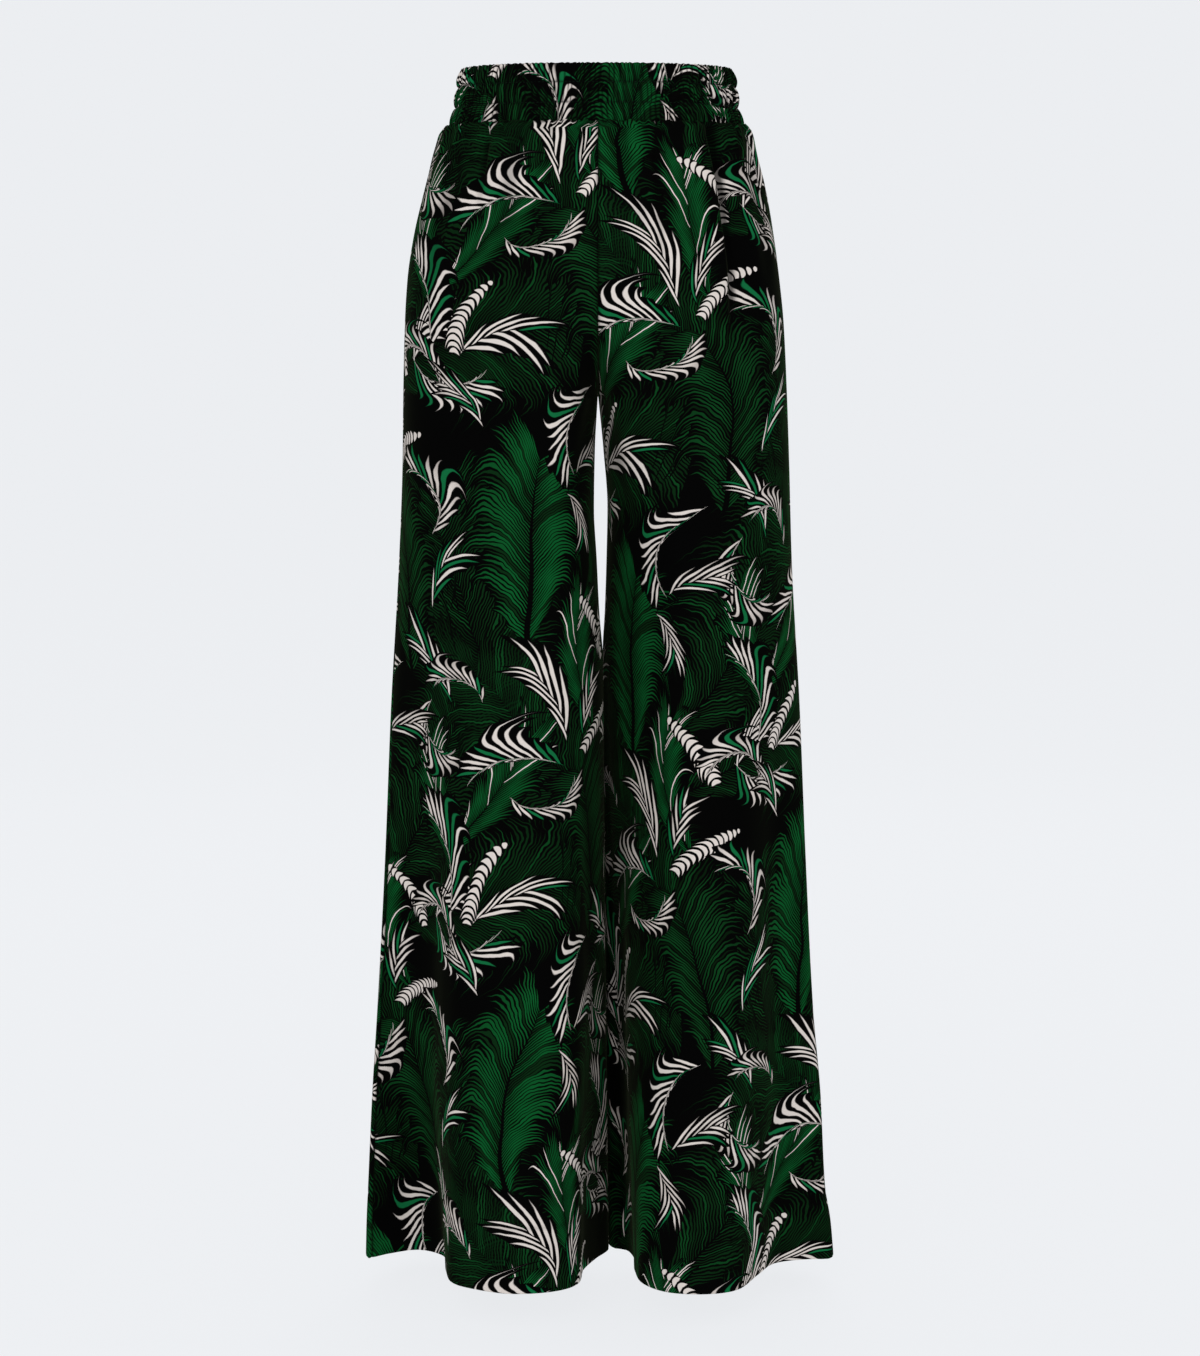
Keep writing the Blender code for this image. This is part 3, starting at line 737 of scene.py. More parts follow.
# Where the print starts on each piece, across it and up
PRINT_STARTS = {
    "front_right": (0.02, 0.0),
    "front_left": (0.13, 0.11),
    "back_right": (0.31, 0.2),
    "back_left": (0.47, 0.05),
    "waistband_front": (0.02, 0.17),
    "waistband_back": (0.31, 0.17),
}


class PlumePrint:
    """The print: a half-drop repeat of plumes on black, as a node group that reads flat cloth."""

    WARP = (0.0150, 9.0)  # how far and how finely whole plumes bend
    WARP_ROUGHNESS = 0.30
    WAVER = (0.05, 48.0)  # how far, in shares of a quill, and how finely strands wander
    THINNING = 10.0  # how much thinner a strand gets where it wanders up
    NOISE_DETAIL = 2.0
    SEEDS = (37.0, 101.0)  # keep apart the draws of the two sides, and of each motif
    FALL = (1.3, 0.6)  # how far strands fall at the quill's foot, and how much less at its tip
    TUFTS = (0.83, 2.0, 0.25)  # the tufts' pitch, their shift from motif to motif, and how uneven they are
    SHORTEST = 0.03  # strands shorter than this share aren't drawn
    SLIM_FOOT = 2.5  # a strand has its full width from 1 / this of its length
    STRAND_EDGE = 6.0  # how sharp a strand's edges are, and those of the quill
    QUILL_EDGE = 2500.0
    QUILL_TIP = 1.15  # the quill ends this far along the plume
    TONE = (0.35, 1.3, 0.5, -0.2)  # where a strand's core colour is, how fast it turns, how much is chance
    PLACE = ("cloth_across", "cloth_up", "waver", "thinned")  # linked, and the same for every motif
    SHAPE = ("across", "up", "turn", "length", "left", "right", "strands", "climb", "fall", "fill", "taper",
             "slim", "ragged", "fullest", "stagger", "quill", "cover", "streaks", "radius", "towards", "seed")
    COLOURS = ("core", "tip", "accent")

    def __init__(self) -> None:
        """Builds the plume's group and then the print's."""
        self.plume = self.build_plume()
        self.group = self.build_print()

    def build_plume(self) -> bpy.types.NodeTree:
        """Builds the group that draws one plume, everywhere in the repeat, over what is given.

        Returns:
            The group, which takes a place on the cloth, the plume's sizes and colours, and the ground.
        """
        tree = bpy.data.node_groups.new("plume", "ShaderNodeTree")
        for name in (*self.PLACE, *self.SHAPE):
            tree.interface.new_socket(name, in_out="INPUT", socket_type="NodeSocketFloat")
        for name in ("ground", *self.COLOURS):
            tree.interface.new_socket(name, in_out="INPUT", socket_type="NodeSocketColor")
        tree.interface.new_socket("colour", in_out="OUTPUT", socket_type="NodeSocketColor")
        given = tree.nodes.new("NodeGroupInput")
        size = {name: Wire(tree, given.outputs[name]) for name in (*self.PLACE, *self.SHAPE)}

        across = size["cloth_across"] - size["across"]
        column = (across / REPEAT_ACROSS).math("ROUND")
        across = across - column * REPEAT_ACROSS
        up = size["cloth_up"] - size["up"] - column * (REPEAT_UP / 2.0)
        up = up - (up / REPEAT_UP).math("ROUND") * REPEAT_UP
        cosine, sine = size["turn"].math("COSINE"), size["turn"].math("SINE")
        inwards = size["radius"] - (across * cosine + up * sine) * size["towards"]
        upright = up * cosine - across * sine
        out = (size["radius"] - (inwards * inwards + upright * upright) ** 0.5) * size["towards"]
        share = upright.math("ARCTAN2", inwards) * size["radius"] / size["length"] + 0.5

        side = out.over(0.0)
        away = abs(out) / (size["left"] + (size["right"] - size["left"]) * side)
        fallen = size["fall"] * away * away * away * (self.FALL[0] - share * self.FALL[1])
        phase = (share - size["climb"] * away + fallen + size["waver"]) * size["strands"]
        phase = phase + side * size["stagger"]
        strand = phase.math("FLOOR")
        root = ((strand + 0.5 - side * size["stagger"]) / size["strands"]).between()
        own = strand + side * self.SEEDS[0] + size["seed"] * self.SEEDS[1]
        noise = tree.nodes.new("ShaderNodeTexWhiteNoise")
        noise.noise_dimensions = "1D"
        tree.links.new(own.socket, noise.inputs["W"])
        chances = tree.nodes.new("ShaderNodeSeparateColor")
        tree.links.new(noise.outputs["Color"], chances.inputs[0])
        uneven, shade, pick = (Wire(tree, socket) for socket in chances.outputs)

        belly = root.math("POWER", size["fullest"])
        ends = (belly * (1.0 - belly) * 4.0).least(0.0) ** 0.5
        pitch, shift, tuft = self.TUFTS
        tufted = (strand * pitch + size["seed"] * shift).math("SINE") * tuft + tuft
        end = (ends * (1.0 - size["ragged"] * (uneven * 0.5 + tufted))).least(0.001)
        run = away / end
        body = run.math("LESS_THAN", 1.0) * end.over(self.SHORTEST)
        middle = abs(phase - strand - 0.5) * 2.0
        width = size["fill"] * (1.0 - run.between() ** size["taper"])
        width = width * (1.0 - size["slim"] * (1.0 - run * self.SLIM_FOOT).between()) * size["thinned"]
        mask = ((width - middle) * self.STRAND_EDGE).between() * body

        quill = ((size["quill"] * (self.QUILL_TIP - share) - abs(out)) * self.QUILL_EDGE).between()
        core, turning, chance, least = self.TONE
        tone = (abs(run - core) * turning + shade * chance + least).between()
        colour = mix_colours(tree, tone, given.outputs["core"], given.outputs["tip"])
        colour = mix_colours(tree, (size["streaks"] - pick).over(0.0), colour, given.outputs["accent"])
        colour = mix_colours(tree, quill, colour, BLACK)
        under = mix_colours(tree, body * size["cover"], given.outputs["ground"], BLACK)
        laid = mix_colours(tree, mask, under, colour)
        result = tree.nodes.new("NodeGroupOutput")
        tree.links.new(laid, result.inputs["colour"])
        return tree

    def build_print(self) -> bpy.types.NodeTree:
        """Builds the group that lays every motif over the one before.

        Returns:
            The group, which takes a place on the cloth and gives its colour.
        """
        tree = bpy.data.node_groups.new("plume_print", "ShaderNodeTree")
        tree.interface.new_socket("cloth", in_out="INPUT", socket_type="NodeSocketVector")
        tree.interface.new_socket("colour", in_out="OUTPUT", socket_type="NodeSocketColor")
        given = tree.nodes.new("NodeGroupInput")
        reach, fineness = self.WARP
        noise = add_noise(tree, given.outputs[0], fineness, self.NOISE_DETAIL)
        noise.inputs["Roughness"].default_value = self.WARP_ROUGHNESS
        warp = tree.nodes.new("ShaderNodeVectorMath")
        warp.operation = "MULTIPLY_ADD"
        warp.inputs[1].default_value = (2.0 * reach,) * 3
        tree.links.new(noise.outputs["Color"], warp.inputs[0])
        tree.links.new(given.outputs[0], warp.inputs[2])
        wander, fineness = self.WAVER
        fine = add_noise(tree, given.outputs[0], fineness, self.NOISE_DETAIL)
        waver = (Wire(tree, fine.outputs[0]) - 0.5) * wander
        thinned = 1.0 - waver * self.THINNING
        split = tree.nodes.new("ShaderNodeSeparateXYZ")
        tree.links.new(warp.outputs[0], split.inputs[0])
        place = (split.outputs[0], split.outputs[1], waver.socket, thinned.socket)
        ground = None
        for seed, motif in enumerate(MOTIFS):
            kind = motif.kind.value
            node = tree.nodes.new("ShaderNodeGroup")
            node.node_tree = self.plume
            sizes = {
                "across": motif.across, "up": motif.up, "turn": math.radians(motif.turn),
                "radius": kind.length * motif.size / abs(motif.arc), "towards": math.copysign(1.0, motif.arc),
                "length": kind.length * motif.size, "left": kind.left * motif.size,
                "right": kind.right * motif.size, "seed": float(seed),
            }
            for name in self.SHAPE:
                node.inputs[name].default_value = sizes[name] if name in sizes else getattr(kind, name)
            for name in self.COLOURS:
                node.inputs[name].default_value = (*getattr(kind, name), 1.0)
            for name, socket in zip(self.PLACE, place):
                tree.links.new(socket, node.inputs[name])
            if ground is None:
                node.inputs["ground"].default_value = (*BLACK, 1.0)
            else:
                tree.links.new(ground, node.inputs["ground"])
            ground = node.outputs[0]
        result = tree.nodes.new("NodeGroupOutput")
        tree.links.new(ground, result.inputs[0])
        return tree


@dataclass(frozen=True)
class Velvet:
    """Printed velvet: a matte, deep pile that shines softly where it turns away."""

    roughness: float = 0.88
    sheen: float = 0.035
    sheen_roughness: float = 0.35
    sheen_tint: Colour = (0.50, 0.62, 0.34)
    pile: float = 2600.0  # tufts' fineness, in each metre
    pile_detail: float = 1.0
    pile_height: float = 0.00015
    pile_strength: float = 0.35

    def build(self, name: str, artwork: PlumePrint) -> bpy.types.Material:
        """Makes the material.

        Args:
            name: The material's name.
            artwork: The print on it.

        Returns:
            The material, which reads the piece's flat cloth coordinates.
        """
        material = bpy.data.materials.new(name)
        material.use_nodes = True
        tree = material.node_tree
        shader = tree.nodes["Principled BSDF"]
        flat = tree.nodes.new("ShaderNodeUVMap")
        flat.uv_map = FLAT_MAP
        colours = tree.nodes.new("ShaderNodeGroup")
        colours.node_tree = artwork.group
        tree.links.new(flat.outputs[0], colours.inputs[0])
        # Painted shade: the print is mixed towards black where the mesh's shade attribute is below 1, in
        # creases, at seams, in stitching and between the puckers
        shade = tree.nodes.new("ShaderNodeAttribute")
        shade.attribute_name = PAINTED_SHADE
        shaded = mix_colours(tree, Wire(tree, shade.outputs["Fac"]), BLACK, colours.outputs[0])
        tree.links.new(shaded, shader.inputs["Base Color"])
        shader.inputs["Roughness"].default_value = self.roughness
        shader.inputs["Specular IOR Level"].default_value = 0.0
        shader.inputs["Sheen Weight"].default_value = self.sheen
        shader.inputs["Sheen Roughness"].default_value = self.sheen_roughness
        shader.inputs["Sheen Tint"].default_value = (*self.sheen_tint, 1.0)
        tufts = add_noise(tree, flat.outputs[0], self.pile, self.pile_detail)
        bump = tree.nodes.new("ShaderNodeBump")
        bump.inputs["Strength"].default_value = self.pile_strength
        bump.inputs["Distance"].default_value = self.pile_height
        tree.links.new(tufts.outputs[0], bump.inputs["Height"])
        tree.links.new(bump.outputs[0], shader.inputs["Normal"])
        return material


@dataclass(frozen=True)
class Plain:
    """A dull plain finish: the velvet's wrong side, thread, backdrop."""

    colour: Colour
    share: float = 1.0  # of the colour that is lit, and that glows by itself
    glow: float = 0.0
    roughness: float = 0.95
    specular: float = 0.05

    def build(self, name: str) -> bpy.types.Material:
        """Makes the material.

        Args:
            name: Its name.

        Returns:
            The material.
        """
        material = bpy.data.materials.new(name)
        material.use_nodes = True
        shader = material.node_tree.nodes["Principled BSDF"]
        shader.inputs["Base Color"].default_value = (*(part * self.share for part in self.colour), 1.0)
        shader.inputs["Roughness"].default_value = self.roughness
        shader.inputs["Specular IOR Level"].default_value = self.specular
        shader.inputs["Emission Color"].default_value = (*self.colour, 1.0)
        shader.inputs["Emission Strength"].default_value = self.glow
        return material


# ---------------------------------------------------------------- cloth

FLAT_MAP = "flat_cloth"
# name of the mesh attribute that holds the painted shade
PAINTED_SHADE = "painted_shade"


class Shade(NamedTuple):
    """Painted shade along a line: how much darker the colour is, and how far that reaches or how deep it
    lies.
    """

    dark: float
    reach: float


def outward_normals(flat: np.ndarray, closed: bool) -> np.ndarray:
    """Works out the outward normals of a run in its level.

    Args:
        flat: The run.
        closed: Whether its ends meet, so that their normals agree.

    Returns:
        The normals of its points.
    """
    steps = np.diff(flat, axis=0)
    across = np.vstack([steps[:1], steps[:-1] + steps[1:], steps[-1:]])
    if closed:
        across[0] = across[-1] = steps[0] + steps[-1]
    across = unit(across)
    return np.stack([across[:, 1], -across[:, 0]], axis=1)


def surface_normals(points: np.ndarray) -> np.ndarray:
    """Normals of a grid of points, to the right of its columns' way down."""
    return unit(np.cross(np.gradient(points, axis=0), np.gradient(points, axis=1)))


def line_shade(line: Shade, away: np.ndarray | float) -> np.ndarray | float:
    """How much of the colour the painted shade leaves at given distances from a dark line."""
    return 1.0 - line.dark * np.exp(-((away / line.reach) ** 2))


class Surface(NamedTuple):
    """Outer face of a piece of cloth, by row and column."""

    points: np.ndarray
    flat: np.ndarray  # where each corner lies on the flat cloth
    shade: np.ndarray  # painted shade: 1 where the colour is left as it is, less in creases and at seams


def grid_object(name: str, surface: Surface) -> bpy.types.Object:
    """Makes a sheet of quads from a primitive grid.

    Args:
        name: The object's name.
        surface: Its shape, by row and column.

    Returns:
        The sheet, its faces pointing to the left of the columns' way down.
    """
    points, flat, shade = surface
    rows, columns = points.shape[:2]
    bpy.ops.object.select_all(action="DESELECT")
    bpy.ops.mesh.primitive_grid_add(x_subdivisions=columns - 1, y_subdivisions=rows - 1, size=2.0)
    thing = bpy.context.object
    thing.name = name
    mesh = thing.data
    mesh.name = name
    start = np.empty(len(mesh.vertices) * 3)
    mesh.vertices.foreach_get("co", start)
    start = start.reshape(-1, 3)
    column = np.rint((start[:, 0] + 1.0) / 2.0 * (columns - 1)).astype(int)
    row = np.rint((1.0 - start[:, 1]) / 2.0 * (rows - 1)).astype(int)
    mesh.vertices.foreach_set("co", points[row, column].ravel())
    corners = np.empty(len(mesh.loops), dtype=np.int32)
    mesh.loops.foreach_get("vertex_index", corners)
    for layer in list(mesh.uv_layers):
        mesh.uv_layers.remove(layer)
    layer = mesh.uv_layers.new(name=FLAT_MAP)
    layer.data.foreach_set("uv", flat[row[corners], column[corners]].ravel())
    # the painted shade, for each corner
    pile = mesh.attributes.new(PAINTED_SHADE, "FLOAT", "POINT")
    pile.data.foreach_set("value", shade[row, column].ravel())
    mesh.update()
    return thing


def apply_modifier(thing: bpy.types.Object, modifier: bpy.types.Modifier) -> None:
    """Applies a modifier of the active object."""
    bpy.context.view_layer.objects.active = thing
    bpy.ops.object.modifier_apply(modifier=modifier.name)


def thicken(thing: bpy.types.Object, wall: float, thin_share: float = 1.0, thick: str = "") -> None:
    """Gives a sheet its wall, inwards, with the second material inside.

    Args:
        thing: The sheet.
        wall: Its thickness, where it is thickest.
        thin_share: Share of it outside the thick group.
        thick: Vertex group of the thickest cloth, if any.
    """
    shell = thing.modifiers.new("wall", "SOLIDIFY")
    shell.thickness = wall
    shell.offset = -1.0
    shell.use_even_offset = False
    shell.material_offset = 1
    shell.material_offset_rim = 1
    if thick:
        shell.vertex_group = thick
        shell.thickness_vertex_group = thin_share
    apply_modifier(thing, shell)
    thing.data.shade_smooth()


def turn_outwards(thing: bpy.types.Object, points: np.ndarray, outwards: np.ndarray) -> None:
    """Flips a sheet's faces if they look the wrong way.

    Args:
        thing: The sheet.
        points: Its points, by row and column.
        outwards: Which way its middle has to look.
    """
    middle = points[points.shape[0] // 2, points.shape[1] // 2]
    nearest = min(thing.data.polygons, key=lambda face: (face.center - Vector(middle)).length)
    if float(np.dot(nearest.normal, outwards)) < 0.0:
        thing.data.flip_normals()


class Face(Enum):
    """Which half of the garment a piece is in."""

    FRONT = "front"
    BACK = "back"

    @property
    def towards(self) -> float:
        """Which way it faces, along Y."""
        return -1.0 if self is Face.FRONT else 1.0


def dressed_sheet(
    name: str, surface: Surface, face: Face, materials: Sequence[bpy.types.Material]
) -> bpy.types.Object:
    """Makes a sheet that faces outwards, with its materials.

    Args:
        name: The sheet's name.
        surface: Its shape, by row and column.
        face: Which half of the garment it is in.
        materials: Those of its face and of its wrong side.

    Returns:
        The sheet.
    """
    thing = grid_object(name, surface)
    turn_outwards(thing, surface.points, np.array((0.0, face.towards, 0.0)))
    for material in materials:
        thing.data.materials.append(material)
    return thing


@dataclass
class LegPanel:
    """One of the four velvet panels, from the waistband's seam to the turned-up hem."""

    leg: Leg
    face: Face
    materials: tuple[bpy.types.Material, bpy.types.Material]

    # Folds, creases and gathers
    fold_ends: float = 0.7  # below 1 a fold's ends are blunter
    tuck_start: float = 0.05  # share of its length over which a tuck reaches its depth
    centre_ease: float = 0.08  # folds die out before the panel's seams, over these shares of its width
    outseam_ease: float = 0.05
    gather_rise: float = 0.006  # drop below the band over which gathers reach their height
    lip_height: float = 0.0056  # how far the fullest gathers stand up over the seam
    lip_drops: tuple[float, float] = (0.0024, 0.0024)  # drop at which they do so most, and reach about it
    lip_shift: float = 0.6  # sets which of the gathers' waves count most there
    lip_uneven: float = 0.7  # how far those waves raise and lower it

    # Seams, with how deep their allowances lie and how far they cross
    seam_roll: float = 0.0013  # how far the cloth turns in at a seam, and over what width
    seam_roll_width: float = 0.0032
    seam_room: float = 0.012  # a seam reaches its full depth this far from the crotch point
    seam_tuck: tuple[tuple[float, float], ...] = ((0.0018, -0.0001), (0.0036, 0.0014))
    seam_tuck_under: float = -0.0004  # how far the allowance that it covers stays short of the seam
    waist_tuck: tuple[float, float] = (0.0026, 0.0030)  # how far the waist's lies behind the band, and rises

    # The hem, with the groove of its stitching
    hem_stitch_groove: float = 0.00035
    hem_stitch_reach: float = 0.0022
    hem_stitch_pitch: float = 0.017  # the groove is deeper at each of the blind stitches, by this share
    hem_stitch_uneven: float = 0.25
    hem_edge: float = 0.0022  # height over which the folded edge is rounded

    # Painted shade in creases, at seams, at the waist and in the hem's stitching
    crease_shade: Shade = Shade(0.75, 0.0035)
    seam_shade: Shade = Shade(0.60, 0.0014)
    waist_shade: Shade = Shade(0.50, 0.0016)
    hem_stitch_shade: Shade = Shade(0.22, 0.0022)
    allowance_painted_shade: float = 0.2  # painted shade: share of the colour left on the seams' allowances, and behind the waistband
    waist_tuck_painted_shade: float = 0.4

    # Rows, with the room that plain ones leave before and after the hem's stitching and at its edge
    gathered_rows_end: float = 0.100  # drop down to which they are close together
    gathered_pitch: float = 0.002
    plain_pitch: float = 0.0042
    plain_rows_end: tuple[float, float, float] = (0.006, 0.009, 0.005)
    stitched_rows: tuple[float, ...] = (-0.0055, -0.0035, -0.0018, 0.0, 0.0018, 0.0035, 0.0055)
    edge_rows: tuple[float, ...] = (0.0032, 0.0016, 0.0007, 0.0)  # above the hem's edge

    @property
    def name(self) -> str:
        """The panel's name, which is its solid's too."""
        return f"{self.face.value}_{self.leg.side.name}"

    def drops(self) -> np.ndarray:
        """Levels of the rows, closer together at the gathers, the hem's stitching and its edge.

        Returns:
            The levels, from the waist's seam down.
        """
        stitching = LENGTH - HEM_TURN
        before, after, edge = self.plain_rows_end
        return np.concatenate([
            np.arange(BAND_DEPTH + SEAM_GAP, self.gathered_rows_end, self.gathered_pitch),
            np.arange(self.gathered_rows_end, stitching - before, self.plain_pitch),
            stitching + np.array(self.stitched_rows),
            np.arange(stitching + after, LENGTH - edge, self.plain_pitch),
            LENGTH - np.array(self.edge_rows),
        ])

    def lift(self, shares: np.ndarray, drop: float, width: float) -> tuple[np.ndarray, np.ndarray]:
        """How far folds, creases and gathers lift a row.

        Args:
            shares: The columns' shares of the panel's width.
            drop: The row's level.
            width: The panel's width there.

        Returns:
            Height outwards at each column, and how much of it is fine creases and gathers.
        """
        broad, fine = np.zeros(len(shares)), np.zeros(len(shares))
        for table, lift in ((FOLDS, broad), (CREASES, fine), (TUCKS, fine)):
            for fold in table:
                if fold.panel != self.name or not fold.top_drop < drop < fold.foot_drop:
                    continue
                run = (drop - fold.top_drop) / (fold.foot_drop - fold.top_drop)
                middle = fold.top_share + run * (fold.foot_share - fold.top_share)
                away = np.abs(shares - middle) * width / fold.half_width
                depth = math.sin(math.pi * run) ** self.fold_ends
                if table is TUCKS:
                    depth = min(run / self.tuck_start, 1.0) * (1.0 - run) ** self.fold_ends
                lift += fold.height * depth * (1.0 - smooth_step(away / 2.0))
        below = drop - BAND_DEPTH
        for wave in GATHERS:
            if 0.0 < below < wave.fade:
                fade = min(below / self.gather_rise, 1.0) * (1.0 - smooth_step(below / wave.fade))
                fine += wave.height * fade * np.sin(2.0 * math.pi * (wave.count * shares + wave.shift))
        ease = np.clip(np.minimum(shares / self.centre_ease, (1.0 - shares) / self.outseam_ease), 0.0, 1.0)
        return (broad + fine) * ease, fine * ease

    def lip(self, shares: np.ndarray, drop: float) -> np.ndarray:
        """How far the gathers stand up over the waistband's seam.

        Args:
            shares: The columns' shares of the panel's width.
            drop: The row's level.

        Returns:
            How far each of the row's columns does.
        """
        middle, reach = self.lip_drops
        wave = np.zeros(len(shares))
        for index, each in enumerate(GATHERS):
            weight = math.sin(math.pi * index / 2.0 + self.lip_shift) ** 2
            wave += weight * np.sin(2.0 * math.pi * (each.count * shares + each.shift))
        near = math.exp(-(((drop - BAND_DEPTH - middle) / reach) ** 2)) - math.exp(-((middle / reach) ** 2))
        return self.lip_height * max(near, 0.0) * np.clip(0.5 + self.lip_uneven * wave, 0.0, 1.0)

    def surface(self) -> Surface:
        """Works out the panel's outer face.

        Returns:
            The face, with the waist seam's allowance as its first row.
        """
        side, shares = self.leg.side, self.leg.shares
        front = self.face is Face.FRONT
        rows, flat, shades = [], [], []
        for drop in self.drops():
            run = self.leg.row(drop)
            whole = np.concatenate([run[0], run[1][::-1][1:]])
            outwards = outward_normals(whole, drop >= RISE)
            own = run[0] if front else run[1]
            outwards = outwards[: len(own)] if front else outwards[::-1][: len(own)]
            width = lengths(own)[-1]
            lift, fine = self.lift(shares, drop, width)
            own = own + outwards * lift[:, None]
            far = lengths(own)
            shades.append(self.shade(far, fine, drop))
            own, far = self.add_allowances(self.turn_in(own, far, outwards, drop), far, outwards, drop)
            ends = len(self.seam_tuck)
            rise = np.pad(self.lip(shares, drop), ends, mode="edge")
            if not rows:
                behind = own - self.waist_tuck[0] * np.pad(outwards, ((ends, ends), (0, 0)), mode="edge")
                level = np.full(len(own), WAIST_TOP - drop + self.waist_tuck[1])
                rows.append(np.column_stack([behind, level]))
                flat.append(far - far[len(far) // 2])
                # painted shade on the row that lies behind the waistband
                shades.append(shades[0] * self.waist_tuck_painted_shade)
            rows.append(np.column_stack([own, WAIST_TOP - drop + rise]))
            flat.append(far - far[len(far) // 2])
        points = np.array(rows)
        points[:, :, 0] *= side.sign
        grain = lengths(points[:, points.shape[1] // 2])
        across = np.array(flat) * side.sign * (1.0 if front else -1.0)
        start_across, start_up = PRINT_STARTS[self.name]
        up = np.broadcast_to(start_up - grain[:, None], across.shape)
        return Surface(points, np.stack([across + start_across, up], axis=2), np.array(shades))

    def shade(self, far: np.ndarray, fine: np.ndarray, drop: float) -> np.ndarray:
        """Painted shade along a row: darker in creases, at seams and in the hem's stitching.

        Args:
            far: Distances of the row's points along it.
            fine: How far creases and gathers lift them.
            drop: The row's level.

        Returns:
            The shade, with that of the seam allowances at both ends.
        """
        crease = 1.0 - self.crease_shade.dark * np.clip(-fine / self.crease_shade.reach, 0.0, 1.0)
        seam = line_shade(self.seam_shade, np.minimum(far, far[-1] - far))
        waist = line_shade(self.waist_shade, drop - BAND_DEPTH)
        stitching = line_shade(self.hem_stitch_shade, drop - (LENGTH - HEM_TURN))
        allowance = np.full(len(self.seam_tuck), self.allowance_painted_shade)
        return np.concatenate([allowance, crease * seam * waist * stitching, allowance])

    def seam_ways(self, own: np.ndarray, outwards: np.ndarray, drop: float) -> list[np.ndarray]:
        """Ways into the garment and across the seam, at a row's first point and at its last.

        The centre seams part the trunk straight down the middle, so there the ways are level with the
        garment's own axes, however far the seam has sunk.

        Args:
            own: The row's points.
            outwards: Their outward normals.
            drop: The row's level.

        Returns:
            The way in and the way across at the first point, and then those at the last.
        """
        if drop < RISE:
            start = [np.array((0.0, -self.face.towards)), np.array((-1.0, 0.0))]
        else:
            start = [-outwards[0], unit(own[0] - own[1])]
        return [*start, -outwards[-1], unit(own[-1] - own[-2])]

    def turn_in(self, own: np.ndarray, far: np.ndarray, outwards: np.ndarray, drop: float) -> np.ndarray:
        """Rolls a row in at its two seams and at the hem's edge, and pulls it in at the hem's stitching.

        Args:
            own: The row's points.
            far: Their distances along it.
            outwards: Their outward normals.
            drop: The row's level.

        Returns:
            The points, moved.
        """
        into_start, _, into_end, _ = self.seam_ways(own, outwards, drop)
        edges = (far, far[-1] - far)
        near = [self.seam_roll * np.clip(1.0 - edge / self.seam_roll_width, 0.0, 1.0) ** 2 for edge in edges]
        near[0] *= self.room(own, drop)
        stitching = (drop - (LENGTH - HEM_TURN)) / self.hem_stitch_reach
        stitches = self.hem_stitch_uneven * np.sin(far * 2.0 * math.pi / self.hem_stitch_pitch)
        pull = self.hem_stitch_groove * math.exp(-stitching**2) * (1.0 - self.hem_stitch_uneven + stitches)
        turned = max(drop - (LENGTH - self.hem_edge), 0.0) / self.hem_edge
        pull += HEM_CLOTH / 2.0 * (1.0 - math.sqrt(1.0 - min(turned, 1.0) ** 2))
        moved = own + into_start * near[0][:, None] + into_end * near[1][:, None] - outwards * pull[:, None]
        if drop >= RISE:
            moved[0] += unit(own[1] - own[0]) * SEAM_GAP / 2.0
        moved[-1] += unit(own[-2] - own[-1]) * SEAM_GAP / 2.0
        return moved

    def room(self, own: np.ndarray, drop: float) -> float:
        """Share of a seam's depth that there is room for: none at the crotch, where front meets back."""
        return min(1.0, (abs(own[0, 1]) if drop < RISE else drop - RISE) / self.seam_room)

    def add_allowances(
        self, own: np.ndarray, far: np.ndarray, outwards: np.ndarray, drop: float
    ) -> tuple[np.ndarray, np.ndarray]:
        """Adds the seam allowances, of which one of each two crosses under the other and closes the seam.

        Args:
            own: The row's points.
            far: Their distances along it.
            outwards: Their outward normals.
            drop: The row's level.

        Returns:
            The longer row's points and their distances.
        """
        front, left = self.face is Face.FRONT, self.leg.side is LEFT
        inner_crosses = (front and not left) or (left and front == (drop >= RISE))
        into_start, over_start, into_end, over_end = self.seam_ways(own, outwards, drop)
        room = self.room(own, drop)
        starts, ends = [], []
        for depth, across in self.seam_tuck:
            reach, over = (depth, across) if inner_crosses else (depth / 2.0, self.seam_tuck_under)
            starts.append(own[0] + (into_start * reach + over_start * over) * room)
            reach, over = (depth, across) if front else (depth / 2.0, self.seam_tuck_under)
            ends.append(own[-1] + into_end * reach + over_end * over)
        depths = np.array([depth for depth, _ in self.seam_tuck])
        run = np.concatenate([far[0] - depths[::-1], far, far[-1] + depths])
        return np.concatenate([starts[::-1], own, ends]), run

    def build(self) -> bpy.types.Object:
        """Makes the panel, thick and dressed, attaches it to the root, hides its solid and logs its cloth's
        size.

        Returns:
            The panel.
        """
        surface = self.surface()
        flat = surface.flat
        thing = dressed_sheet(self.name, surface, self.face, self.materials)
        group = thing.vertex_groups.new(name="hem")
        hem = WAIST_TOP - LENGTH + HEM_TURN
        group.add([corner.index for corner in thing.data.vertices if corner.co.z < hem], 1.0, "REPLACE")
        thicken(thing, HEM_CLOTH, CLOTH / HEM_CLOTH, "hem")
        widths = flat[:, :, 0].max(axis=1) - flat[:, :, 0].min(axis=1)
        long = float(flat[0, 0, 1] - flat[-1, 0, 1])
        area = float(np.trapz(widths, -flat[:, 0, 1]))
        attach(thing, "root")
        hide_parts(self.name)
        LOG.info("%s: %.3f x %.3f m of cloth, %.3f square metres", self.name, widths.max(), long, area)
        return thing


class Stitch(NamedTuple):
    """One stitch of thread on the cloth's face."""

    start: np.ndarray
    end: np.ndarray
    outwards: np.ndarray


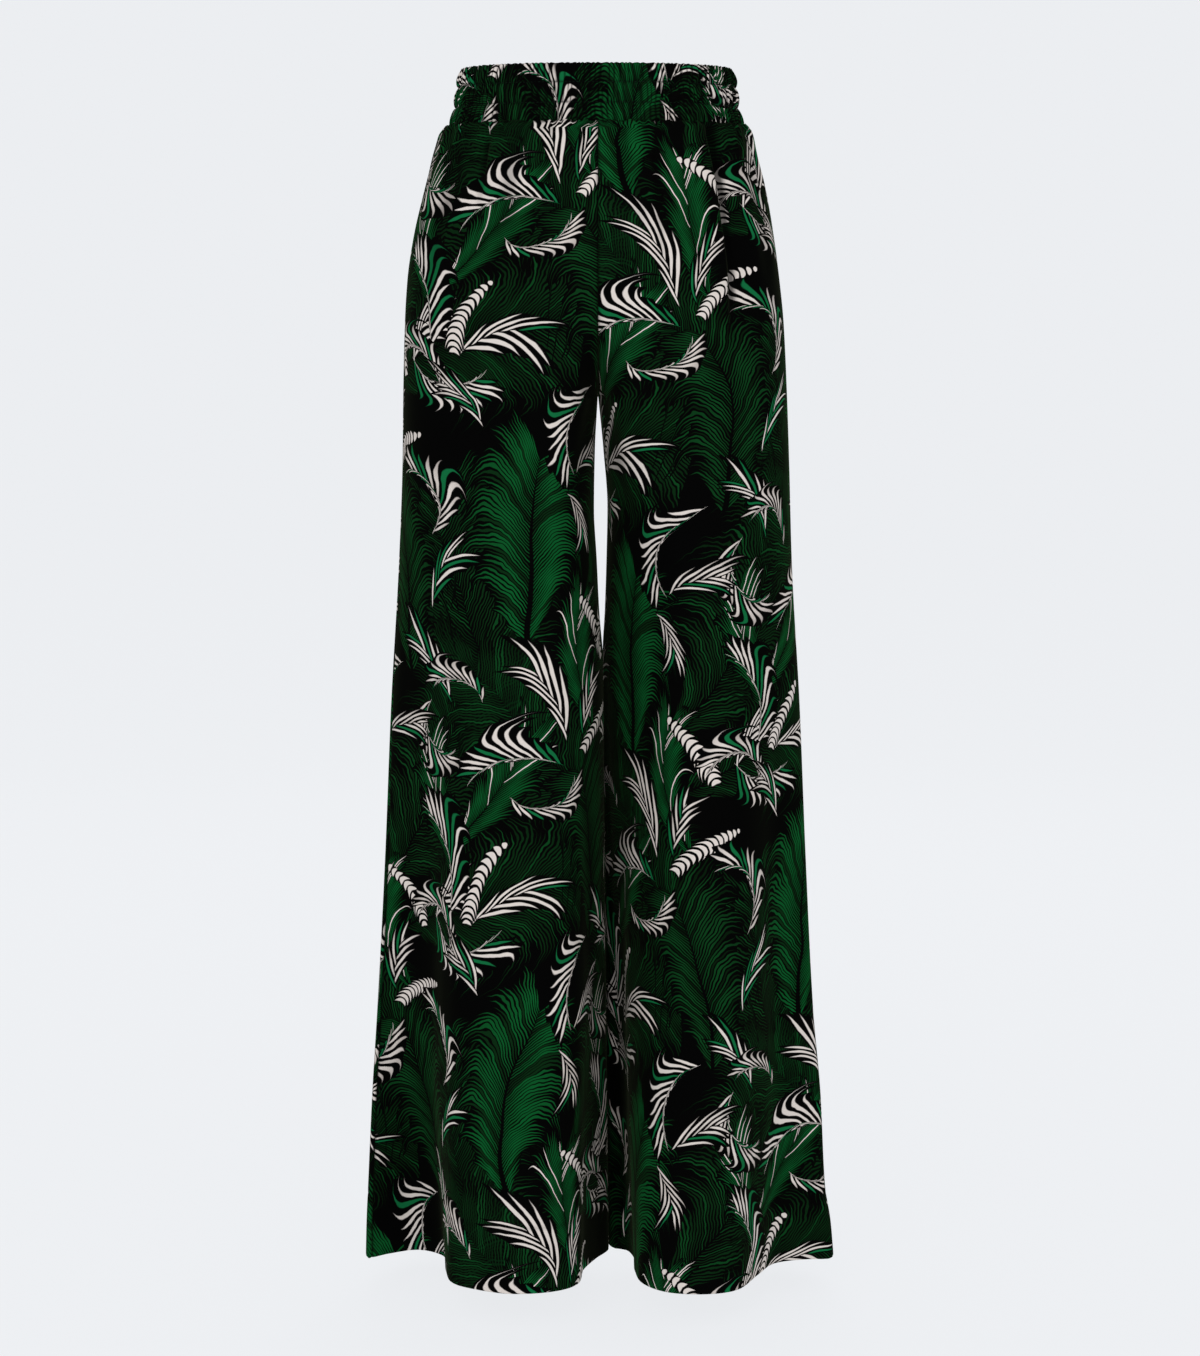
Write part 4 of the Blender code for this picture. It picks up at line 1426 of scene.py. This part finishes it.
def stitching(name: str, stitches: Sequence[Stitch], radius: float) -> bpy.types.Object:
    """Makes rows of stitches: each a short round thread that comes up out of the cloth and goes back in.

    Args:
        name: The piece's name.
        stitches: Where they are.
        radius: The thread's radius.

    Returns:
        The piece.
    """
    bpy.ops.object.select_all(action="DESELECT")
    bpy.ops.mesh.primitive_ico_sphere_add(subdivisions=2, radius=1.0)
    thing = bpy.context.object
    thing.name = thing.data.name = name
    pattern = thing.data.copy()
    for stitch in stitches:
        copy = thing if stitch is stitches[0] else bpy.data.objects.new(name, pattern.copy())
        way = (stitch.end - stitch.start) / 2.0
        sideways = unit(np.cross(way, stitch.outwards))
        outwards = unit(np.cross(sideways, way))
        place = np.identity(4)
        place[:3, :2] = np.column_stack([sideways, outwards]) * radius
        place[:3, 2:] = np.column_stack([way, stitch.start + way])
        copy.data.transform(Matrix(place))
        if copy is not thing:
            bpy.context.scene.collection.objects.link(copy)
            copy.select_set(True)
    bpy.ops.object.join()
    bpy.data.meshes.remove(pattern)
    thing.data.shade_smooth()
    return thing


class Puckers(NamedTuple):
    """The waistband's puckers along a row, by column."""

    wave: np.ndarray  # from 0 between two of them to 1 on one
    height: np.ndarray
    shade: np.ndarray  # painted shade, as a surface's


class Sway(NamedTuple):
    """A slow wave along the waistband's puckers."""

    reach: float
    pitch: float  # its turn from pucker to pucker
    shift: float

    def read(self, turns: np.ndarray, further: float) -> np.ndarray:
        """Size of the wave at each column, further along by some of its shifts."""
        return self.reach * np.sin(turns * self.pitch + self.shift * further)


@dataclass
class BandHalf:
    """One half of the shirred waistband: three elastic channels, drawn into fine puckers."""

    face: Face
    materials: tuple[bpy.types.Material, bpy.types.Material]
    thread: bpy.types.Material
    puckers: int = 66
    pucker_columns: int = 9
    pucker_height: float = 0.0024
    pucker_power: float = 0.6  # below 1 they are full, with narrow creases between
    # Painted shade in the creases between the puckers
    pucker_shade: float = 0.88
    pucker_least_shade: float = 0.45  # share of that between the lowest puckers
    sways: tuple[Sway, ...] = (Sway(0.34, 0.83, 2.1), Sway(0.18, 2.3, 4.0))
    slant: Sway = Sway(0.26, 0.37, 70.0)  # it shifts down the band, and the sways from channel to channel
    unevenness: Sway = Sway(0.30, 2.3, 1.7)
    flattest: float = 0.30  # share of a pucker's height that is left at the stitches
    crease: tuple[float, float, float] = (1.12, 2.5, 1.7)  # width of the painted shade between puckers, and what narrows it
    rim_ripple: float = 0.0006  # how far the waist's edge dips at each crease
    stitch_columns: int = 4
    channel_swell: float = 0.0014
    swell_power: float = 0.6  # below 1 a channel is fuller next to its stitches
    rim_swell: float = 0.35
    foot_swell: float = 0.10
    stitch_drops: tuple[float, float] = (0.0168, 0.0346)
    # Painted shade along the rows of stitches
    stitch_shade: Shade = Shade(0.55, 0.0011)
    stitch_radius: float = 0.00028
    gather: float = 1.38  # flat cloth to each length of drawn-in band
    rows_a_channel: int = 12

    @property
    def name(self) -> str:
        """The half's name, which is its solid's too."""
        return f"waistband_{self.face.value}"

    def ring(self, drop: float, count: int) -> tuple[np.ndarray, np.ndarray]:
        """Even points round the half at a level, from the wearer's right to the left.

        Args:
            drop: The level.
            count: How many steps between the side seams.

        Returns:
            The points and their outward normals.
        """
        front = self.face is Face.FRONT
        depth = along(LEVELS, self.face.value, drop) * self.face.towards
        power = FRONT_POWER if front else BACK_POWER
        angles = np.linspace(0.0, math.pi / 2.0, CURVE_POINTS)
        runs = []
        for sign, name in ((-1.0, "right"), (1.0, "left")):
            x = sign * along(LEVELS, name, drop) * np.cos(angles) ** (2.0 / power)
            run = np.stack([x, depth * np.sin(angles) ** (2.0 / power)], axis=1)
            runs.append(run if name == "right" else run[::-1][1:])
        points = np.concatenate(runs)
        far = lengths(points)
        at = np.linspace(SEAM_GAP / 2.0, far[-1] - SEAM_GAP / 2.0, count + 1)
        ring = read_run(points, far, at)
        tangent = unit(np.gradient(ring, axis=0))
        tangent[0], tangent[-1] = (0.0, math.copysign(1.0, depth)), (0.0, -math.copysign(1.0, depth))
        outwards = np.stack([tangent[:, 1], -tangent[:, 0]], axis=1) * (1.0 if front else -1.0)
        return ring, unit(outwards)

    def swell(self, share: float, drop: float) -> float:
        """How full a channel is at a level, from 0 to 1.

        Args:
            share: How far down the channel it is.
            drop: The level.

        Returns:
            The fullness: none at the rows of stitches, little at the band's two edges.
        """
        if drop == 0.0:
            return self.rim_swell
        if drop == BAND_DEPTH:
            return self.foot_swell
        return math.sin(math.pi * share) ** self.swell_power if 0.0 < share < 1.0 else 0.0

    def puckers_at(self, channel: int, drop: float, swell: float) -> Puckers:
        """Works out the puckers of a row, which sway from side to side and are uneven.

        Args:
            channel: The channel's number, from the top.
            drop: The row's level.
            swell: How full the channel is there.

        Returns:
            The puckers, at each column.
        """
        even = np.arange(self.puckers * self.pucker_columns + 1) / self.pucker_columns
        turns = even + sum(sway.read(even, channel) for sway in self.sways) + self.slant.read(even, drop)
        open_share = 0.5 - 0.5 * np.cos(2.0 * math.pi * turns)
        wave = open_share**self.pucker_power
        uneven = 1.0 - self.unevenness.reach + self.unevenness.read(np.floor(turns), channel)
        height = self.pucker_height * uneven * (self.flattest + (1.0 - self.flattest) * swell) * wave
        height[0] = height[-1] = 0.0
        # Painted shade in the creases between the puckers
        width, narrowing, gathering = self.crease
        closed = smooth_step(width - open_share * (narrowing + gathering * swell * uneven))
        least = self.pucker_least_shade
        dark = self.pucker_shade * (least + (1.0 - least) * uneven) * closed
        return Puckers(wave, height, 1.0 - dark)

    def surface(self) -> Surface:
        """Works out the half's outer face.

        Returns:
            The face, from the rim down to the waist seam.
        """
        edges = (0.0, *self.stitch_drops, BAND_DEPTH)
        count = self.puckers * self.pucker_columns
        rows, flat, shades = [], [], []
        for channel, (top, foot) in enumerate(zip(edges, edges[1:])):
            for share in np.linspace(0.0, 1.0, self.rows_a_channel + 1)[0 if channel == 0 else 1:]:
                drop = top + (foot - top) * share
                swell = self.swell(share, drop)
                puckers = self.puckers_at(channel, drop, swell)
                ring, outwards = self.ring(drop, count)
                lifted = ring + outwards * (self.channel_swell * (swell - 0.5) + puckers.height)[:, None]
                level = np.full(count + 1, WAIST_TOP - drop)
                flat.append(np.column_stack([lengths(ring) * self.gather, level]))
                if drop == 0.0:
                    level = level - self.rim_ripple * (1.0 - puckers.wave)
                rows.append(np.column_stack([lifted, level]))
                stitched = min(abs(drop - row) for row in self.stitch_drops)
                shades.append(puckers.shade * line_shade(self.stitch_shade, stitched))
        flat = np.array(flat)
        flat[:, :, 0] -= flat[:, -1:, 0] / 2.0
        if self.face is Face.BACK:
            flat[:, :, 0] *= -1.0
        return Surface(np.array(rows), flat, np.array(shades))

    def build(self) -> bpy.types.Object:
        """Makes the half, thick and dressed, attaches it to the root, hides its solid, logs its cloth's size
        and sews its stitches.

        Returns:
            The half.
        """
        surface = self.surface()
        flat = surface.flat
        printed = surface._replace(flat=flat + np.array(PRINT_STARTS[self.name]))
        thing = dressed_sheet(self.name, printed, self.face, self.materials)
        thicken(thing, CLOTH)
        width = float(flat[0, :, 0].max() - flat[0, :, 0].min())
        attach(thing, "root")
        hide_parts(self.name)
        LOG.info("%s: %.3f x %.3f m of cloth, gathered", self.name, width, BAND_DEPTH)
        self.sew(surface.points)
        return thing

    def sew(self, points: np.ndarray) -> bpy.types.Object:
        """Sews the two rows of stitches between the channels.

        Args:
            points: The half's outer face.

        Returns:
            The stitches of both rows, as one piece.
        """
        normals = surface_normals(points)
        if normals[points.shape[0] // 2, points.shape[1] // 2, 1] * self.face.towards < 0.0:
            normals = -normals
        stitches = [
            Stitch(points[row, column], points[row, column + self.stitch_columns], normals[row, column])
            for row in (self.rows_a_channel, 2 * self.rows_a_channel)
            for column in range(1, points.shape[1] - self.stitch_columns - 1, self.stitch_columns + 2)
        ]
        thing = stitching(f"stitches_{self.face.value}", stitches, self.stitch_radius)
        thing.data.materials.append(self.thread)
        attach(thing, "root")
        LOG.info("%s: %d stitches", thing.name, len(stitches))
        return thing


# ---------------------------------------------------------------- studio


class Lamp(NamedTuple):
    """A square soft light that faces the garment's middle."""

    name: str
    place: tuple[float, float, float]
    size: float
    power: float


@dataclass(frozen=True)
class Studio:
    """Seamless pale backdrop, soft lights, and the camera."""

    lamps: tuple[Lamp, ...] = (
        Lamp("key", (-0.9, -3.0, 0.9), 2.0, 34.0),
        Lamp("fill", (1.2, -3.0, -0.8), 2.2, 34.0),
        Lamp("back", (0.3, 2.6, 1.6), 2.0, 30.0),
    )
    lit: tuple[float, float, float] = (0.0, 0.0, -0.5)  # where they all point
    daylight: float = 0.85  # from all around

    pale: Colour = (0.847, 0.863, 0.888)
    glow: float = 0.93  # the sweep shines a little itself, so that it is evenly pale
    floor_height: float = -1.10
    sweep: float = 6.0  # half its width
    sweep_back: float = 3.2  # where it starts to rise behind the garment
    sweep_bend: float = 2.0  # radius of its bend
    bend_steps: int = 24
    sweep_top: float = 5.0
    camera_place: tuple[float, float, float] = (0.0018, -2.85, -0.2205)
    camera_tilt: float = 6.09  # degrees down
    focal_share: float = 3121.0 / 1356.0  # lens length over the picture's height
    sensor: float = 36.0

    def build(self) -> None:
        """Makes the sweep, lights and camera."""
        self.backdrop()
        for lamp in self.lamps:
            self.light(lamp)
        world = bpy.context.scene.world or bpy.data.worlds.new("studio")
        bpy.context.scene.world = world
        world.use_nodes = True
        background = world.node_tree.nodes["Background"]
        background.inputs[0].default_value = (*self.pale, 1.0)
        background.inputs[1].default_value = self.daylight
        bpy.context.scene.view_settings.view_transform = "Standard"
        self.camera()

    def backdrop(self) -> None:
        """Makes the floor that bends up into the backdrop, from a grid laid along its run."""
        bend, back = self.sweep_bend, self.sweep_back
        turns = np.linspace(0.0, math.pi / 2.0, self.bend_steps)
        curve = [(back + bend * math.sin(turn), bend * (1.0 - math.cos(turn))) for turn in turns]
        run = [(-self.sweep, 0.0), *curve, (back + bend, self.sweep_top)]
        bpy.ops.object.select_all(action="DESELECT")
        bpy.ops.mesh.primitive_grid_add(x_subdivisions=2, y_subdivisions=len(run) - 1, size=2.0)
        floor = bpy.context.object
        floor.name = "sweep"
        for corner in floor.data.vertices:
            row = round((corner.co.y + 1.0) / 2.0 * (len(run) - 1))
            corner.co = (corner.co.x * self.sweep, run[row][0], self.floor_height + run[row][1])
        floor.data.shade_smooth()
        floor.data.materials.append(Plain(self.pale, share=1.0 - self.glow, glow=self.glow).build("sweep"))

    def light(self, lamp: Lamp) -> bpy.types.Object:
        """Adds a light.

        Args:
            lamp: The light.

        Returns:
            Its object.
        """
        bpy.ops.object.light_add(type="AREA", location=lamp.place)
        thing = bpy.context.object
        thing.name = lamp.name
        thing.data.size = lamp.size
        thing.data.energy = lamp.power
        across, away, up = np.array(self.lit) - np.array(lamp.place)
        thing.rotation_euler = (math.atan2(math.hypot(across, away), -up), 0.0, math.atan2(-across, away))
        return thing

    def camera(self) -> None:
        """Adds the camera, level with the hips and tilted down a little."""
        data = bpy.data.cameras.new("camera")
        data.sensor_fit = "VERTICAL"
        data.sensor_height = self.sensor
        data.lens = self.sensor * self.focal_share
        camera = bpy.data.objects.new("camera", data)
        camera.location = self.camera_place
        camera.rotation_euler = (math.pi / 2.0 - math.radians(self.camera_tilt), 0.0, 0.0)
        bpy.context.scene.collection.objects.link(camera)
        bpy.context.scene.camera = camera


def main() -> None:
    """Builds the garment piece by piece, and its studio."""
    logging.basicConfig(level=logging.INFO, format="%(name)s: %(message)s")
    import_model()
    artwork = PlumePrint()
    cloth = (Velvet().build("velvet", artwork), Plain(WRONG_SIDE).build("velvet_wrong_side"))
    thread = Plain(THREAD, roughness=THREAD_ROUGHNESS).build("thread")
    for side in (RIGHT, LEFT):
        leg = Leg(side)
        for face in Face:
            LegPanel(leg, face, cloth).build()
    for face in Face:
        BandHalf(face, cloth, thread).build()
    Studio().build()


if __name__ == "__main__":
    main()
